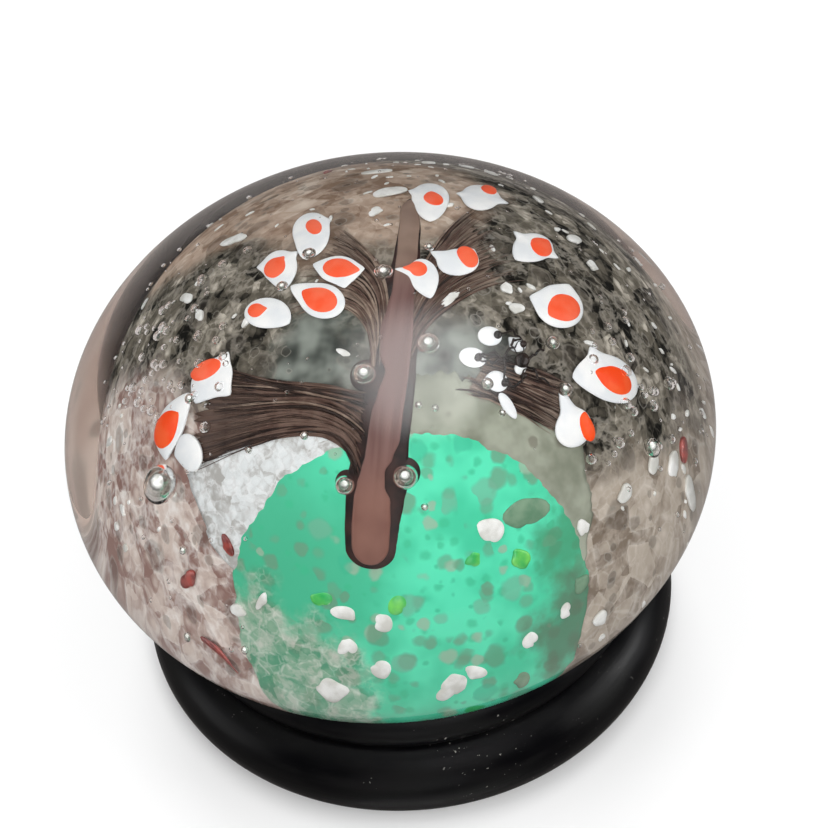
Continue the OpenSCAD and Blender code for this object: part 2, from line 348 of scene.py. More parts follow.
def lumps(size_share, stir_share):
    """Tone per lump, closeness to its middle, and distance to the line between lumps."""
    laid = {"Vector": stirred_place(stir_share), "Scale": maths(crushed, "DIVIDE", scale, size_share)}
    cells = add(crushed, "TexVoronoi", laid, feature="F1")
    edges = add(crushed, "TexVoronoi", laid, feature="DISTANCE_TO_EDGE")
    tone = add(crushed, "SeparateColor", {"Color": cells.outputs["Color"]}).outputs["Red"]
    return tone, between(crushed, cells.outputs["Distance"], 0.55, 0.0), edges.outputs["Distance"]


big_tone, big_round, big_edge = lumps(1.0, 1.0)
small_tone, small_round, small_edge = lumps(0.42, 0.55)
fine = add(crushed, "TexNoise", {"Vector": crushed_in["Place"],
                                 "Scale": maths(crushed, "MULTIPLY", scale, 1.6), "Detail": 6.0,
                                 "Roughness": 0.62, "Distortion": 0.8})
# Closeness to each lump's middle lightens its tone: painted shading that makes the lumps look round.
tone = maths(crushed, "MULTIPLY", big_tone, 0.34)
for part, weight in ((small_tone, 0.20), (big_round, 0.10), (small_round, 0.12),
                     (fine.outputs["Fac"], 0.52)):
    tone = maths(crushed, "MULTIPLY_ADD", part, weight, tone)
body_colour = blend_colour(crushed, between(crushed, tone, 0.36, 0.68),
                           crushed_in["Dark"], crushed_in["Middle"])
body_colour = blend_colour(crushed, between(crushed, tone, 0.66, 0.92), body_colour,
                           crushed_in["Light"])
ridge = add(crushed, "TexNoise", {"Vector": stirred_place(1.6), "Detail": 4.0, "Roughness": 0.6,
                                  "Scale": maths(crushed, "MULTIPLY", scale, 0.7)})
ridge_line = maths(crushed, "ABSOLUTE", maths(crushed, "SUBTRACT", ridge.outputs["Fac"], 0.5))
wisp = maths(crushed, "MULTIPLY", between(crushed, ridge_line, 0.055, 0.0), crushed_in["Wisps"])
body_colour = blend_colour(crushed, wisp, body_colour, crushed_in["Light"])
broken = between(crushed, fine.outputs["Fac"], 0.42, 0.60)
seam_mask = maths(crushed, "MAXIMUM", between(crushed, big_edge, 0.09, 0.0),
                  maths(crushed, "MULTIPLY", between(crushed, small_edge, 0.10, 0.0), 0.55))
seam_mask = maths(crushed, "MULTIPLY", maths(crushed, "MULTIPLY", seam_mask, broken),
                  crushed_in["Seam strength"])
crushed.links.new(blend_colour(crushed, seam_mask, body_colour, crushed_in["Seam"]),
                  crushed_out["Color"])
crushed.links.new(maths(crushed, "MULTIPLY", big_round, small_round), crushed_out["Height"])


def crush(tree, place, size, stir, dark, middle, light, seam, seam_strength=0.6, wisps=0.5):
    return use(tree, crushed, {"Place": place, "Cell size": size, "Stir": stir, "Dark": dark,
                               "Middle": middle, "Light": light, "Seam": seam,
                               "Seam strength": seam_strength, "Wisps": wisps})


print("group:", crushed.name)

# %% [markdown]
# ## Shared effect: round granules seen through glass
# Over the green hill lie rounded grains of see-through glass, each only a soft darker or paler blot. The
# distance to the nearest Voronoi point makes a round blot, and a random pick per cell drops most of them.

# %% Node group: round granules
granules, granules_in, granules_out = group(
    "round granules", [("Place", "vector", (0, 0, 0)), ("Spacing", "value", 0.004),
                       ("Share", "value", 0.5), ("Radius", "value", 0.35), ("Softness", "value", 0.2)],
    [("Mask", "value"), ("Rim", "value")])
grain_scale = maths(granules, "DIVIDE", 1.0, granules_in["Spacing"])
grain_noise = add(granules, "TexNoise", {"Vector": granules_in["Place"],
                                         "Scale": maths(granules, "MULTIPLY", grain_scale, 1.3)})
grain_push = vector_maths(granules, "SCALE", vector_maths(
    granules, "SUBTRACT", grain_noise.outputs["Color"], (0.5, 0.5, 0.5)).outputs[0], (0, 0, 0))
granules.links.new(maths(granules, "MULTIPLY", granules_in["Spacing"], 0.45),
                   grain_push.inputs["Scale"])
grain_place = vector_maths(granules, "ADD", granules_in["Place"], grain_push.outputs[0]).outputs[0]
grain_cells = add(granules, "TexVoronoi", {"Vector": grain_place, "Scale": grain_scale,
                                           "Randomness": 0.85}, feature="F1")
grain_pick = add(granules, "SeparateColor", {"Color": grain_cells.outputs["Color"]})
size_share = maths(granules, "MULTIPLY_ADD", grain_pick.outputs["Blue"], 0.7, 0.55)
own_radius = maths(granules, "MULTIPLY", granules_in["Radius"], size_share)
full_inside = maths(granules, "SUBTRACT", 1.0, granules_in["Softness"])
grain_round = between(granules, grain_cells.outputs["Distance"], own_radius,
                      maths(granules, "MULTIPLY", own_radius, full_inside))
grain_hole = between(granules, grain_cells.outputs["Distance"],
                     maths(granules, "MULTIPLY", own_radius, 0.95),
                     maths(granules, "MULTIPLY", own_radius, 0.70))
grain_kept = maths(granules, "LESS_THAN", grain_pick.outputs["Red"], granules_in["Share"])
grain_mask = maths(granules, "MULTIPLY", grain_round, grain_kept)
granules.links.new(grain_mask, granules_out["Mask"])
granules.links.new(maths(granules, "MULTIPLY", grain_mask, maths(granules, "SUBTRACT", 1.0, grain_hole)),
                   granules_out["Rim"])


def blots(tree, place, spacing, share, radius, softness=0.2):
    return use(tree, granules, {"Place": place, "Spacing": spacing, "Share": share, "Radius": radius,
                                "Softness": softness})


print("group:", granules.name)

# %% [markdown]
# ## The clear casing's glass
# Real refraction is what makes the core look as large as the orb, so the casing is true glass. Lamps
# can't shine through refracting glass without heavy noise, so shadow rays alone are let straight through.

# %% Glass for the casing
def let_lamps_through(tree, shader_output):
    """Mixes in Transparent for shadow rays only, so that lamps light what is inside the glass."""
    path = add(tree, "LightPath")
    clear = add(tree, "BsdfTransparent")
    mixed = add(tree, "MixShader", {0: path.outputs["Is Shadow Ray"], 1: shader_output,
                                    2: clear.outputs[0]})
    tree.links.new(mixed.outputs[0], tree.nodes["Material Output"].inputs["Surface"])


GLASS_IOR = 1.5
clear_glass, tree, shader = material("clear casing glass", Base_Color=(1, 1, 1, 1), Roughness=0.0,
                                     IOR=GLASS_IOR, Transmission_Weight=1.0)
let_lamps_through(tree, shader.outputs[0])

# An air bubble is a hollow in that glass, so its own index is one over the glass's.
HOLLOW = {"Color": (1, 1, 1, 1), "Roughness": 0.0, "IOR": 1 / GLASS_IOR}
bubble_air, tree, shader = material("air in glass")
tree.nodes.remove(shader)
let_lamps_through(tree, add(tree, "BsdfGlass", HOLLOW).outputs[0])
print("glasses:", clear_glass.name, bubble_air.name)

# %% [markdown]
# ## The core's glass
# The core changes over its face: dark crushed glass above and behind, a brown powder patch near the top,
# pinkish grains low at the left, beige ones low at the right, dim see-through windows beside the trunk,
# and a pale underside whose colour is painted light, standing in for light the stand keeps off it. Each
# zone is a crushed-glass recipe, and soft masks lay them over each other.

# %% Core material
core_glass, tree, shader = material("core glass", Roughness=0.5, Specular_IOR_Level=0.0)
place, direction = core_places(tree)

dark_zone = crush(tree, place, 0.0040, 0.0040,
                  srgb(22, 21, 18), srgb(106, 100, 89),
                  srgb(206, 198, 184), srgb(168, 162, 148), 0.22, 0.3)
brown_zone = crush(tree, place, 0.0052, 0.0044,
                   srgb(140, 116, 98), srgb(186, 164, 146),
                   srgb(222, 206, 190), srgb(206, 190, 174), 0.2, 0.2)
pink_zone = crush(tree, place, 0.0046, 0.0036,
                  srgb(142, 112, 104), srgb(208, 192, 182),
                  srgb(240, 235, 230), srgb(244, 241, 236), 0.4, 0.35)
beige_zone = crush(tree, place, 0.0046, 0.0020,
                   srgb(128, 114, 100), srgb(180, 168, 154),
                   srgb(212, 202, 190), srgb(216, 208, 198), 0.45, 0.15)
# The pale pinkish underside is painted light: its colour stands in for light that the stand keeps off it, and
# it shows at the orb's rim.
underside_painted_light = melt(tree, place, 0.006, srgb(190, 162, 148), srgb(224, 202, 188), 2.0)
window_colour = melt(tree, place, 0.0045, srgb(62, 66, 62), srgb(142, 148, 140), 2.0)
colour = dark_zone.outputs["Color"]
# Each row: colour, place of its middle, reach in degrees, softness, wander of its edge.
LAYERS = [
    (brown_zone.outputs["Color"], (122, -14), 30, 0.05, 0.20),
    (brown_zone.outputs["Color"], (150, -40), 26, 0.05, 0.20),
    (window_colour, (63, -16), 11, 0.014, 0.03),
    (window_colour, (60, 14), 14, 0.022, 0.04),
    (pink_zone.outputs["Color"], (-4, -54), 34, 0.05, 0.14),
    (pink_zone.outputs["Color"], (-36, -62), 26, 0.05, 0.14),
    (beige_zone.outputs["Color"], (-4, 56), 27, 0.04, 0.12),
    (beige_zone.outputs["Color"], (-20, 80), 17, 0.04, 0.12),
    (beige_zone.outputs["Color"], (-150, 56), 26, 0.05, 0.12),
    (pink_zone.outputs["Color"], (-40, 0), 40, 0.05, 0.12),
    (underside_painted_light, (-120, -20), 56, 0.08, 0.12),
]
for layer_colour, spot, angle, softness, wander in LAYERS:
    mask = zone_mask(tree, direction, spot, angle, softness, wander)
    colour = blend_colour(tree, mask, colour, layer_colour)
# Round beads of three sizes lie all over the crushed glass as painted bubbles: a paler ring that is a
# painted highlight, and a slightly darker middle that is painted shade.
BEADS = [(0.0056, 0.50, 0.40, srgb(188, 180, 168), 0.30), (0.0021, 0.34, 0.34, srgb(176, 172, 160), 0.55),
         (0.0034, 0.26, 0.32, srgb(196, 192, 182), 0.5)]
for spacing, share, radius, ring_highlight_colour, strength in BEADS:
    beads = blots(tree, place, spacing, share, radius)
    # Painted shade in each bead's middle, then a painted highlight on its ring.
    colour = laid_over(tree, colour, beads.outputs["Mask"], 0.34, srgb(60, 54, 50))
    colour = laid_over(tree, colour, beads.outputs["Rim"], strength, ring_highlight_colour)
paint(tree, shader, colour)
core_bump = add(tree, "Bump", {"Height": dark_zone.outputs["Height"], "Strength": 0.5,
                               "Distance": 0.0006})
tree.links.new(core_bump.outputs["Normal"], shader.inputs["Normal"])
print("core zones:", len(LAYERS) + 1)

# %% [markdown]
# ## The core and the casing as meshes
# Both are balls with a flat ground underneath, but a plain sphere primitive has poles and no flat. Here
# each is spun from its own half outline, so the flat has a small eased edge as a polished weight has.

# %% Lathe helper
def smooth(mesh):
    mesh.polygons.foreach_set("use_smooth", [True] * len(mesh.polygons))
    mesh.update()


def piece_from(name, bm, materials, body, slot, *nodes):
    """Makes the mesh's object, gives it its materials, ties it to its CAD body and hides its CAD nodes. The
    slot is not used.
    """
    bmesh.ops.recalc_face_normals(bm, faces=bm.faces)
    mesh = bpy.data.meshes.new(name)
    bm.to_mesh(mesh)
    bm.free()
    smooth(mesh)
    for finish in materials:
        mesh.materials.append(finish)
    made = bpy.data.objects.new(name, mesh)
    scene.collection.objects.link(made)
    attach(made, body)
    if nodes:
        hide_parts(*nodes)
    print(f"{name}: {len(mesh.polygons)} faces")
    return made


def spun(section, steps, centre=Vector((0, 0, 0))):
    """A closed mesh from a half outline of (radius, height) pairs that starts and ends on the axis."""
    bm = bmesh.new()
    first = bm.verts.new(centre + Vector((0, 0, section[0][1])))
    last = bm.verts.new(centre + Vector((0, 0, section[-1][1])))
    rings = []
    for radius, height in section[1:-1]:
        turn = [2 * math.pi * i / steps for i in range(steps)]
        rings.append([bm.verts.new(centre + Vector((radius * math.cos(a), radius * math.sin(a), height)))
                      for a in turn])
    for i in range(steps):
        after = (i + 1) % steps
        bm.faces.new((first, rings[0][after], rings[0][i]))
        bm.faces.new((last, rings[-1][i], rings[-1][after]))
        for lower, upper in zip(rings, rings[1:]):
            bm.faces.new((lower[i], lower[after], upper[after], upper[i]))
    return bm


def flat_ball_section(radius, half_height, flat, ease, steps):
    """Half outline of a ball or a flattened ball, cut flat below, with an eased lower edge."""
    start = math.asin(flat / half_height)
    rim = radius * math.cos(start)
    section = [(0, flat), (rim * 0.5, flat), (rim - ease, flat), (rim - ease * 0.3, flat + ease * 0.12)]
    for i in range(1, steps + 1):
        angle = start + (math.pi / 2 - start) * i / steps
        section.append((radius * math.cos(angle), half_height * math.sin(angle)))
    section[-1] = (0, half_height)
    return section


casing = spun(flat_ball_section(ORB_R, ORB_HALF_H, FLAT_Z - ORB_CENTRE.z, 0.6 * MM, 110), 224,
              ORB_CENTRE)
piece_from("orb_casing", casing, [clear_glass], "orb", "clear_glass", "clear_casing")

CORE_FLAT_GAP = 0.15 * MM
core_section = flat_ball_section(CORE_R_MM * MM, CORE_R_MM * MM,
                                 FLAT_Z + CORE_FLAT_GAP - CORE_CENTRE.z, 0.5 * MM, 150)
core = spun(core_section, 320, CORE_CENTRE)
GRAIN_RELIEF, BROAD_WAVES, FINE_WAVES = 0.22 * MM, 420, 1100
for vertex in core.verts:
    out = vertex.co - CORE_CENTRE
    if out.length > CORE_R_MM * MM * 0.995:
        push = noise.noise(out * BROAD_WAVES) + 0.5 * noise.noise(out * FINE_WAVES)
        vertex.co -= out.normalized() * GRAIN_RELIEF * (0.6 + 0.5 * push)
piece_from("core_ball", core, [core_glass], "orb", "smoky_glass", "smoky_core")

# %% [markdown]
# ## Pieces that lie on the core
# A drop of hot glass on a ball is a low dome with a round edge. The helper below builds that dome ring by
# ring from any outline and closes it underneath. The outline is an oval that can be pulled to points,
# which is what happens when the maker drags a cold needle through a soft drop. Sheets and ribbons are
# rows of vertex pairs that a second helper closes, and a third eases a width along its way.

# %% Dome and slab helpers
def pulled_oval(length, width, turn, pulls=(), corners=72):
    """An oval's outline in mm. Each pull is (turn, reach, spread): a point drawn out of the edge."""
    outline = []
    for i in range(corners):
        angle = 360 * i / corners
        a = math.radians(angle - turn)
        r = length * width / 2 / math.hypot(width * math.cos(a), length * math.sin(a))
        for pull_turn, reach, spread in pulls:
            off = abs((angle - pull_turn + 180) % 360 - 180)
            r += reach * math.exp(-(off / spread) ** 1.4)
        outline.append((r * math.cos(math.radians(angle)), r * math.sin(math.radians(angle))))
    return outline


def dome(bm, spot, outline, height, base=0.0, sink=0.35, rings=7, shift=(0.0, 0.0)):
    """Adds a closed dome over an outline that lies round a place on the core."""
    count = len(outline)
    loops = []
    for k in range(rings + 1):
        phi = math.pi / 2 * k / (rings + 1)
        share, lift = math.cos(phi), base + height * math.sin(phi)
        loops.append([bm.verts.new(on_core(spot, shift[0] + x * share, shift[1] + y * share, lift))
                      for x, y in outline])
    top = bm.verts.new(on_core(spot, *shift, base + height))
    under = bm.verts.new(on_core(spot, *shift, base - sink))
    low = [bm.verts.new(on_core(spot, shift[0] + x * 0.97, shift[1] + y * 0.97, base - sink))
           for x, y in outline]
    for i in range(count):
        after = (i + 1) % count
        for outer, inner in zip([low] + loops, loops):
            bm.faces.new((outer[i], outer[after], inner[after], inner[i]))
        bm.faces.new((loops[-1][i], loops[-1][after], top))
        bm.faces.new((low[after], low[i], under))


def slab(bm, rows):
    """Closes rows of (top, under) vertex pairs into one thin solid sheet, and returns its faces."""
    made = []
    for a, b in zip(rows, rows[1:]):
        for k in range(len(a) - 1):
            made.append(bm.faces.new((a[k][0], a[k + 1][0], b[k + 1][0], b[k][0])))
            made.append(bm.faces.new((a[k][1], b[k][1], b[k + 1][1], a[k + 1][1])))
        for c, d in ((a[0], b[0]), (a[-1], b[-1])):
            made.append(bm.faces.new((c[0], d[0], d[1], c[1])))
    for row in (rows[0], rows[-1]):
        for c, d in zip(row, row[1:]):
            made.append(bm.faces.new((c[0], c[1], d[1], d[0])))
    return made


def eased(profile, at):
    """The values of a profile's row at a place, eased between its entries."""
    if at <= profile[0][0]:
        return profile[0][1:]
    for low_row, high_row in zip(profile, profile[1:]):
        if at <= high_row[0]:
            t = (at - low_row[0]) / (high_row[0] - low_row[0])
            t = t * t * (3 - 2 * t)
            return [a + (b - a) * t for a, b in zip(low_row[1:], high_row[1:])]
    return profile[-1][1:]


print("dome and slab helpers ready")

# %% [markdown]
# ## The green hill
# The hill is one round field of opaque green picked up at the front. It is a wide, very low dome, so its
# edge shows a little thickness. Over it lie see-through granules, which the material paints as soft
# blots of many sizes, and it grows darker at the right, where smoky glass covers it.

# %% Green hill
HILL_SPOT = (8, 8)
HILL_W, HILL_H, HILL_REACH = 42.8, 44.6, 36

hill_glass, tree, shader = material("green hill glass", Roughness=0.4, Specular_IOR_Level=0.1)
place, direction = core_places(tree)
colour = melt(tree, place, 0.006, srgb(74, 206, 162), srgb(94, 230, 186), 2.0)
left_shade = zone_mask(tree, direction, (16, -22), 22, 0.08, 0.05)
colour = blend_colour(tree, left_shade, colour, srgb(76, 184, 144))
# Each row: spacing, share kept, radius as a share of the spacing, softness, colour, strength.
BLOTS = [(0.0019, 0.55, 0.40, 0.6, srgb(66, 188, 140), 0.6),
         (0.0026, 0.45, 0.42, 0.45, srgb(104, 168, 136), 0.7),
         (0.0034, 0.46, 0.42, 0.35, srgb(112, 152, 126), 0.75),
         (0.0030, 0.28, 0.38, 0.4, srgb(160, 182, 160), 0.75),
         (0.0040, 0.30, 0.42, 0.35, srgb(120, 176, 150), 0.6),
         (0.0044, 0.34, 0.42, 0.3, srgb(64, 186, 148), 0.6),
         (0.0048, 0.26, 0.36, 0.3, srgb(98, 150, 120), 0.7),
         (0.0060, 0.10, 0.26, 0.3, srgb(44, 182, 84), 0.8)]
for spacing, share, radius, softness, blot_colour, strength in BLOTS:
    blot = blots(tree, place, spacing, share, radius, softness)
    colour = laid_over(tree, colour, blot.outputs["Mask"], strength, blot_colour)
    colour = laid_over(tree, colour, blot.outputs["Rim"], 0.16, srgb(40, 110, 84))
for spot, angle, shade_colour in [((22, 42), 9, srgb(76, 150, 112)), ((-3, 42), 10, srgb(92, 112, 92))]:
    shade = zone_mask(tree, direction, spot, angle, 0.014, 0.06, 9.0)
    colour = laid_over(tree, colour, shade, 0.8, shade_colour)
litter = crush(tree, place, 0.0032, 0.003, srgb(88, 140, 110), srgb(150, 172, 150),
               srgb(216, 208, 200), srgb(232, 228, 220))
litter_mask = zone_mask(tree, direction, (-14, -20), 20, 0.03, 0.16, 8.0)
colour = laid_over(tree, colour, litter_mask, 0.8, litter.outputs["Color"])
paint(tree, shader, colour)

hill = bmesh.new()
hill_edge = []
for x, y in pulled_oval(HILL_W, HILL_H, 0, corners=300):
    wave = 0.022 * noise.noise(Vector((x, y, 3)) * 0.25) + 0.016 * noise.noise(Vector((x, y, 9)) * 0.9)
    hill_edge.append((x * (1 + wave), y * (1 + wave)))
dome(hill, HILL_SPOT, hill_edge, height=0.22, base=0.04, sink=0.4, rings=26)
piece_from("green_hill", hill, [hill_glass], "orb", "green_glass", "green_hill")

# %% [markdown]
# ## The pale drift
# Behind the hill a drift of fine white powder shows at the left and thins to grey haze at the right. It
# is a crescent-shaped skin, so it is built as a strip that runs round the hill from one side to the other.

# %% Pale drift
drift_glass, tree, shader = material("pale drift glass", Roughness=0.5, Specular_IOR_Level=0.0)
place, direction = core_places(tree)
white_part = crush(tree, place, 0.0030, 0.004, srgb(176, 174, 170), srgb(226, 230, 230),
                   srgb(240, 242, 242), srgb(190, 186, 182), 0.5, 0.5)
haze = melt(tree, place, 0.005, srgb(130, 134, 118), srgb(168, 172, 156))
haze_blots = blots(tree, place, 0.0036, 0.5, 0.38, 0.4)
haze = laid_over(tree, haze, haze_blots.outputs["Mask"], 0.6, srgb(112, 106, 94))
sides = add(tree, "SeparateXYZ", {"Vector": direction}).outputs["X"]
paint(tree, shader, blend_colour(tree, between(tree, sides, -0.16, 0.08), white_part.outputs["Color"], haze))

# Width of the drift in mm by the turn round the hill, from its right end to its left.
DRIFT_WIDTHS = [(4, 0.3), (12, 2.0), (20, 4.8), (40, 8.4), (60, 10.0), (80, 10.0), (100, 8.6), (120, 6.6),
                (135, 8.0), (150, 11.0), (162, 11.5), (172, 7.0), (180, 0.5)]
DRIFT_INNER_R, DRIFT_STEPS, DRIFT_ACROSS = 20.6, 220, 8
drift = bmesh.new()
strip = []
for i in range(DRIFT_STEPS + 1):
    turn = 4 + 176 * i / DRIFT_STEPS
    ragged = noise.noise(Vector((turn * 0.09, 0, 0))) + 0.5 * noise.noise(Vector((turn * 0.5, 3, 0)))
    width = eased(DRIFT_WIDTHS, turn)[0] * (1 + 0.22 * ragged)
    row = []
    for k in range(DRIFT_ACROSS + 1):
        arc = (math.degrees(math.asin(DRIFT_INNER_R / CORE_R_MM))
               + math.degrees(width / CORE_R_MM) * k / DRIFT_ACROSS)
        r = CORE_R_MM * math.sin(math.radians(arc))
        x, y = r * math.cos(math.radians(turn)), r * math.sin(math.radians(turn))
        lift = 0.06 * math.sin(math.pi * min(1, (DRIFT_ACROSS - k) / 2) / 2)
        row.append((drift.verts.new(on_core(HILL_SPOT, x, y, lift)),
                    drift.verts.new(on_core(HILL_SPOT, x, y, -0.45))))
    strip.append(row)
slab(drift, strip)
piece_from("pale_drift", drift, [drift_glass], "orb", "pale_glass", "pale_drift")

# %% [markdown]
# ## The trunk
# The trunk is a cane of mauve glass pressed on hot, with dark glass squeezed out along both edges. Both
# are ribbons that run up and over the core. Their width changes along the way, so it is kept as a short
# list of (up, half width, offset) and eased between its entries.

# %% Ribbon helper and trunk
def ribbon(bm, profile, start, end, height, base=0.0, sink=0.3, round_start=4.2, round_end=8.0):
    """A closed ribbon with a domed top and round ends, along side 0 from start to end."""
    steps, across = 150, 14
    rows = []
    for i in range(steps + 1):
        share = (1 - math.cos(math.pi * i / steps)) / 2
        up = start + (end - start) * share
        half, middle = eased(profile, up)
        from_start = min(1, (up - start) / round_start)
        from_end = min(1, (end - up) / round_end)
        half *= max(0.02, math.sqrt(max(0, 1 - (1 - from_start) ** 2))
                    * math.sqrt(max(0, 1 - (1 - from_end) ** 2)))
        row = []
        for k in range(across + 1):
            a = math.pi * k / across
            x = middle - half * math.cos(a)
            lift = base + height * math.sin(a) ** 0.7 * min(1, half / 1.0)
            row.append((bm.verts.new(on_core((up, 0), x, 0, lift)),
                        bm.verts.new(on_core((up, 0), x, 0, base - sink))))
        rows.append(row)
    slab(bm, rows)


TRUNK_WIDTHS = [(22, 2.3, -0.6), (28, 2.4, -0.7), (33, 2.3, -0.8), (36, 1.75, -1.1), (39, 1.5, -1.0),
                (42, 1.75, -0.4), (46, 2.05, 0.0), (51, 2.0, 0.1), (55, 1.8, 0.4), (60, 1.5, 0.8),
                (64, 2.0, 0.3), (70, 2.2, 0.1), (75, 1.8, 0.2), (80, 1.5, 0.3), (90, 1.4, 0.1),
                (100, 1.4, -0.2), (110, 1.3, -0.7)]
LINE_WIDTHS = [(22, 3.3, -0.5), (28, 3.5, -0.55), (33, 3.7, -0.45), (37, 3.9, -0.3), (41, 3.6, -0.3),
               (46, 3.3, -0.1), (52, 3.2, 0.1), (58, 3.4, -0.1), (64, 3.0, 0.1), (70, 3.0, 0.1),
               (76, 2.6, 0.1), (82, 2.2, 0.0), (90, 1.8, 0.1), (98, 1.55, -0.1), (112, 1.1, -0.7)]

cane_glass, tree, shader = material("mauve cane glass", Roughness=0.45, Specular_IOR_Level=0.1)
place, direction = core_places(tree)
streak_place = vector_maths(tree, "MULTIPLY", place, (9, 0.6, 0.6)).outputs[0]
colour = melt(tree, streak_place, 0.012, srgb(104, 78, 74), srgb(126, 98, 93), 2.0)
# The cane is redder at its foot and paler at its top.
for spot, angle, dark, light in [((24, 0), 15, srgb(108, 70, 62), srgb(136, 98, 86)),
                                 ((108, 0), 22, srgb(124, 102, 90), srgb(148, 126, 112))]:
    end_mask = zone_mask(tree, direction, spot, angle, 0.05, 0.02)
    colour = blend_colour(tree, end_mask, colour, melt(tree, place, 0.009, dark, light))
paint(tree, shader, colour)
line_glass = melted_glass("dark line glass", 0.0033, srgb(16, 9, 8), srgb(48, 28, 24), 0.35, 0.15)

# Dark domes round each bubble that touches the trunk are painted shade, the dark ring seen round a bubble in
# glass.
BUBBLE_SHADE_SPOTS = [((59, -5.2), 1.5), ((84, -4.2), 1.2), ((39, 5), 1.5), ((36, -6.8), 1.15)]
line = bmesh.new()
ribbon(line, LINE_WIDTHS, 18.4, 115, height=0.16, base=0.16)
for spot, radius in BUBBLE_SHADE_SPOTS:
    dome(line, spot, pulled_oval(radius * 2.9, radius * 2.7, 80), 0.2, base=0.1, rings=4)
piece_from("trunk_dark_line", line, [line_glass], "orb", "dark_glass", "trunk_dark_line")
cane = bmesh.new()
ribbon(cane, TRUNK_WIDTHS, 19.4, 114, height=0.42, base=0.30)
piece_from("trunk_cane", cane, [cane_glass], "orb", "mauve_glass", "trunk_cane")

# %% [markdown]
# ## The combed branches
# The maker pulls a point through hot dark glass, and it streams out like hair. Each fan is a thin sheet
# of brown glass whose streaks follow the pull, and over it lie single strands, each a thin tapering
# tube. A painted texture alone would look flat, and tubes alone would show gaps. A fan lies between a
# low edge and a high edge, each a curve through four places.

# %% Combed glass
def combed_glass(name, dark, light, hair):
    """Streaks that run along the sheet: u is the share across the fan and v the share along it."""
    made, tree, shader = material(name, Roughness=0.4, Specular_IOR_Level=0.1)
    comb = add(tree, "UVMap", uv_map="comb").outputs[0]
    broad = vector_maths(tree, "MULTIPLY", comb, (26, 1.3, 1)).outputs[0]
    narrow = vector_maths(tree, "MULTIPLY", comb, (90, 2.6, 1)).outputs[0]
    colour = melt(tree, broad, 1.0, dark, light, 4.0)
    fine_hair = melt(tree, narrow, 1.0, srgb(0, 0, 0), srgb(255, 255, 255), 2.0)
    paint(tree, shader, laid_over(tree, colour, fine_hair, 0.35, hair))
    return made


def strand_glass(name, dark, light):
    return melted_glass(name, 0.002, dark, light, 0.4, 0.12)


DARK_COMB = combed_glass("dark combed glass", srgb(44, 30, 25), srgb(82, 62, 52), srgb(108, 86, 74))
PALE_COMB = combed_glass("pale combed glass", srgb(84, 70, 60), srgb(142, 124, 110), srgb(178, 162, 148))
STRAND_GLASSES = [strand_glass("strand dark", srgb(30, 20, 16), srgb(54, 39, 33)),
                  strand_glass("strand brown", srgb(78, 58, 50), srgb(106, 86, 76)),
                  strand_glass("strand grey", srgb(112, 94, 82), srgb(150, 132, 118))]

# %% Strand helpers
def curve_point(four, t):
    """A place on the Bezier curve through a pair of ends and its two guide places."""
    a, b, c, d = (Vector((*p, 0)) for p in four)
    s = 1 - t
    p = a * s ** 3 + b * 3 * t * s * s + c * 3 * t * t * s + d * t ** 3
    return p.x, p.y


def edge_mix(low, high, t):
    """The curve that lies a share t of the way from a fan's low edge to its high edge."""
    return [[a + (b - a) * t for a, b in zip(p, q)] for p, q in zip(low, high)]


def strand(bm, spots, thickness, lift, finish, sides=6):
    """A tapering tube in mm along places on the core, lying lift mm above it."""
    rings = []
    count = len(spots)
    points = [on_core(spot, 0, 0, lift) for spot in spots]
    for i, point in enumerate(points):
        along = (points[min(i + 1, count - 1)] - points[max(i - 1, 0)]).normalized()
        out = (point - CORE_CENTRE).normalized()
        across = along.cross(out).normalized()
        share = i / (count - 1)
        r = thickness * MM * (0.25 + 0.75 * math.sin(math.pi * min(1, share * 1.1 + 0.08)) ** 0.6)
        if i in (0, count - 1):
            r = thickness * MM * 0.12
        ring = []
        for k in range(sides):
            a = 2 * math.pi * k / sides
            ring.append(bm.verts.new(point + across * r * math.cos(a) + out * r * 0.55 * math.sin(a)))
        rings.append(ring)
    made = [bm.faces.new((low[k], low[(k + 1) % sides], high[(k + 1) % sides], high[k]))
            for low, high in zip(rings, rings[1:]) for k in range(sides)]
    made += [bm.faces.new(rings[0]), bm.faces.new(rings[-1])]
    for face in made:
        face.material_index = finish


def combed_sheet(bm, low, high, first, last, finish, seed, steps=44, across=30):
    """The thin sheet under a fan's strands, with a ragged far end and its streaks' u and v."""
    comb = bm.loops.layers.uv.new("comb")
    rows, places = [], {}
    for k in range(across + 1):
        t = k / across
        end = last - 0.16 * (0.5 + 0.5 * noise.noise(Vector((t * 9, seed, 0)))) - 0.05 * (k % 2)
        thin = min(1, 5 * min(t, 1 - t) + 0.1)
        row = []
        for i in range(steps + 1):
            share = first + (end - first) * i / steps
            spot = curve_point(edge_mix(low, high, t), share)
            row.append((bm.verts.new(on_core(spot, 0, 0, 0.13 * thin)),
                        bm.verts.new(on_core(spot, 0, 0, -0.3))))
            places.update({vertex: (t + seed, share) for vertex in row[-1]})
        rows.append(row)
    for face in slab(bm, rows):
        face.material_index = finish
        for loop in face.loops:
            loop[comb].uv = places[loop.vert]


def fan_strands(bm, low, high, count, chance, thickness, start, shades, steps=30):
    """Fills the space between two edges with strands."""
    for i in range(count):
        t = min(1, max(0, (i + chance.uniform(-0.6, 0.6)) / (count - 1)))
        four = [[value + chance.uniform(-0.8, 0.8) for value in spot] for spot in edge_mix(low, high, t)]
        first = chance.uniform(*start)
        last = 1 - chance.uniform(0, 0.14)
        ripple, turn = chance.uniform(0.15, 0.5), chance.uniform(0, 6.3)
        spots = []
        for k in range(steps):
            share = first + (last - first) * k / (steps - 1)
            up, side = curve_point(four, share)
            spots.append((up + ripple * math.sin(turn + 9 * share), side))
        finish = chance.choices((0, 1, 2), shades)[0]
        strand(bm, spots, thickness * chance.uniform(0.5, 1.4), chance.uniform(0.12, 0.42), finish)


print("strand helpers ready")

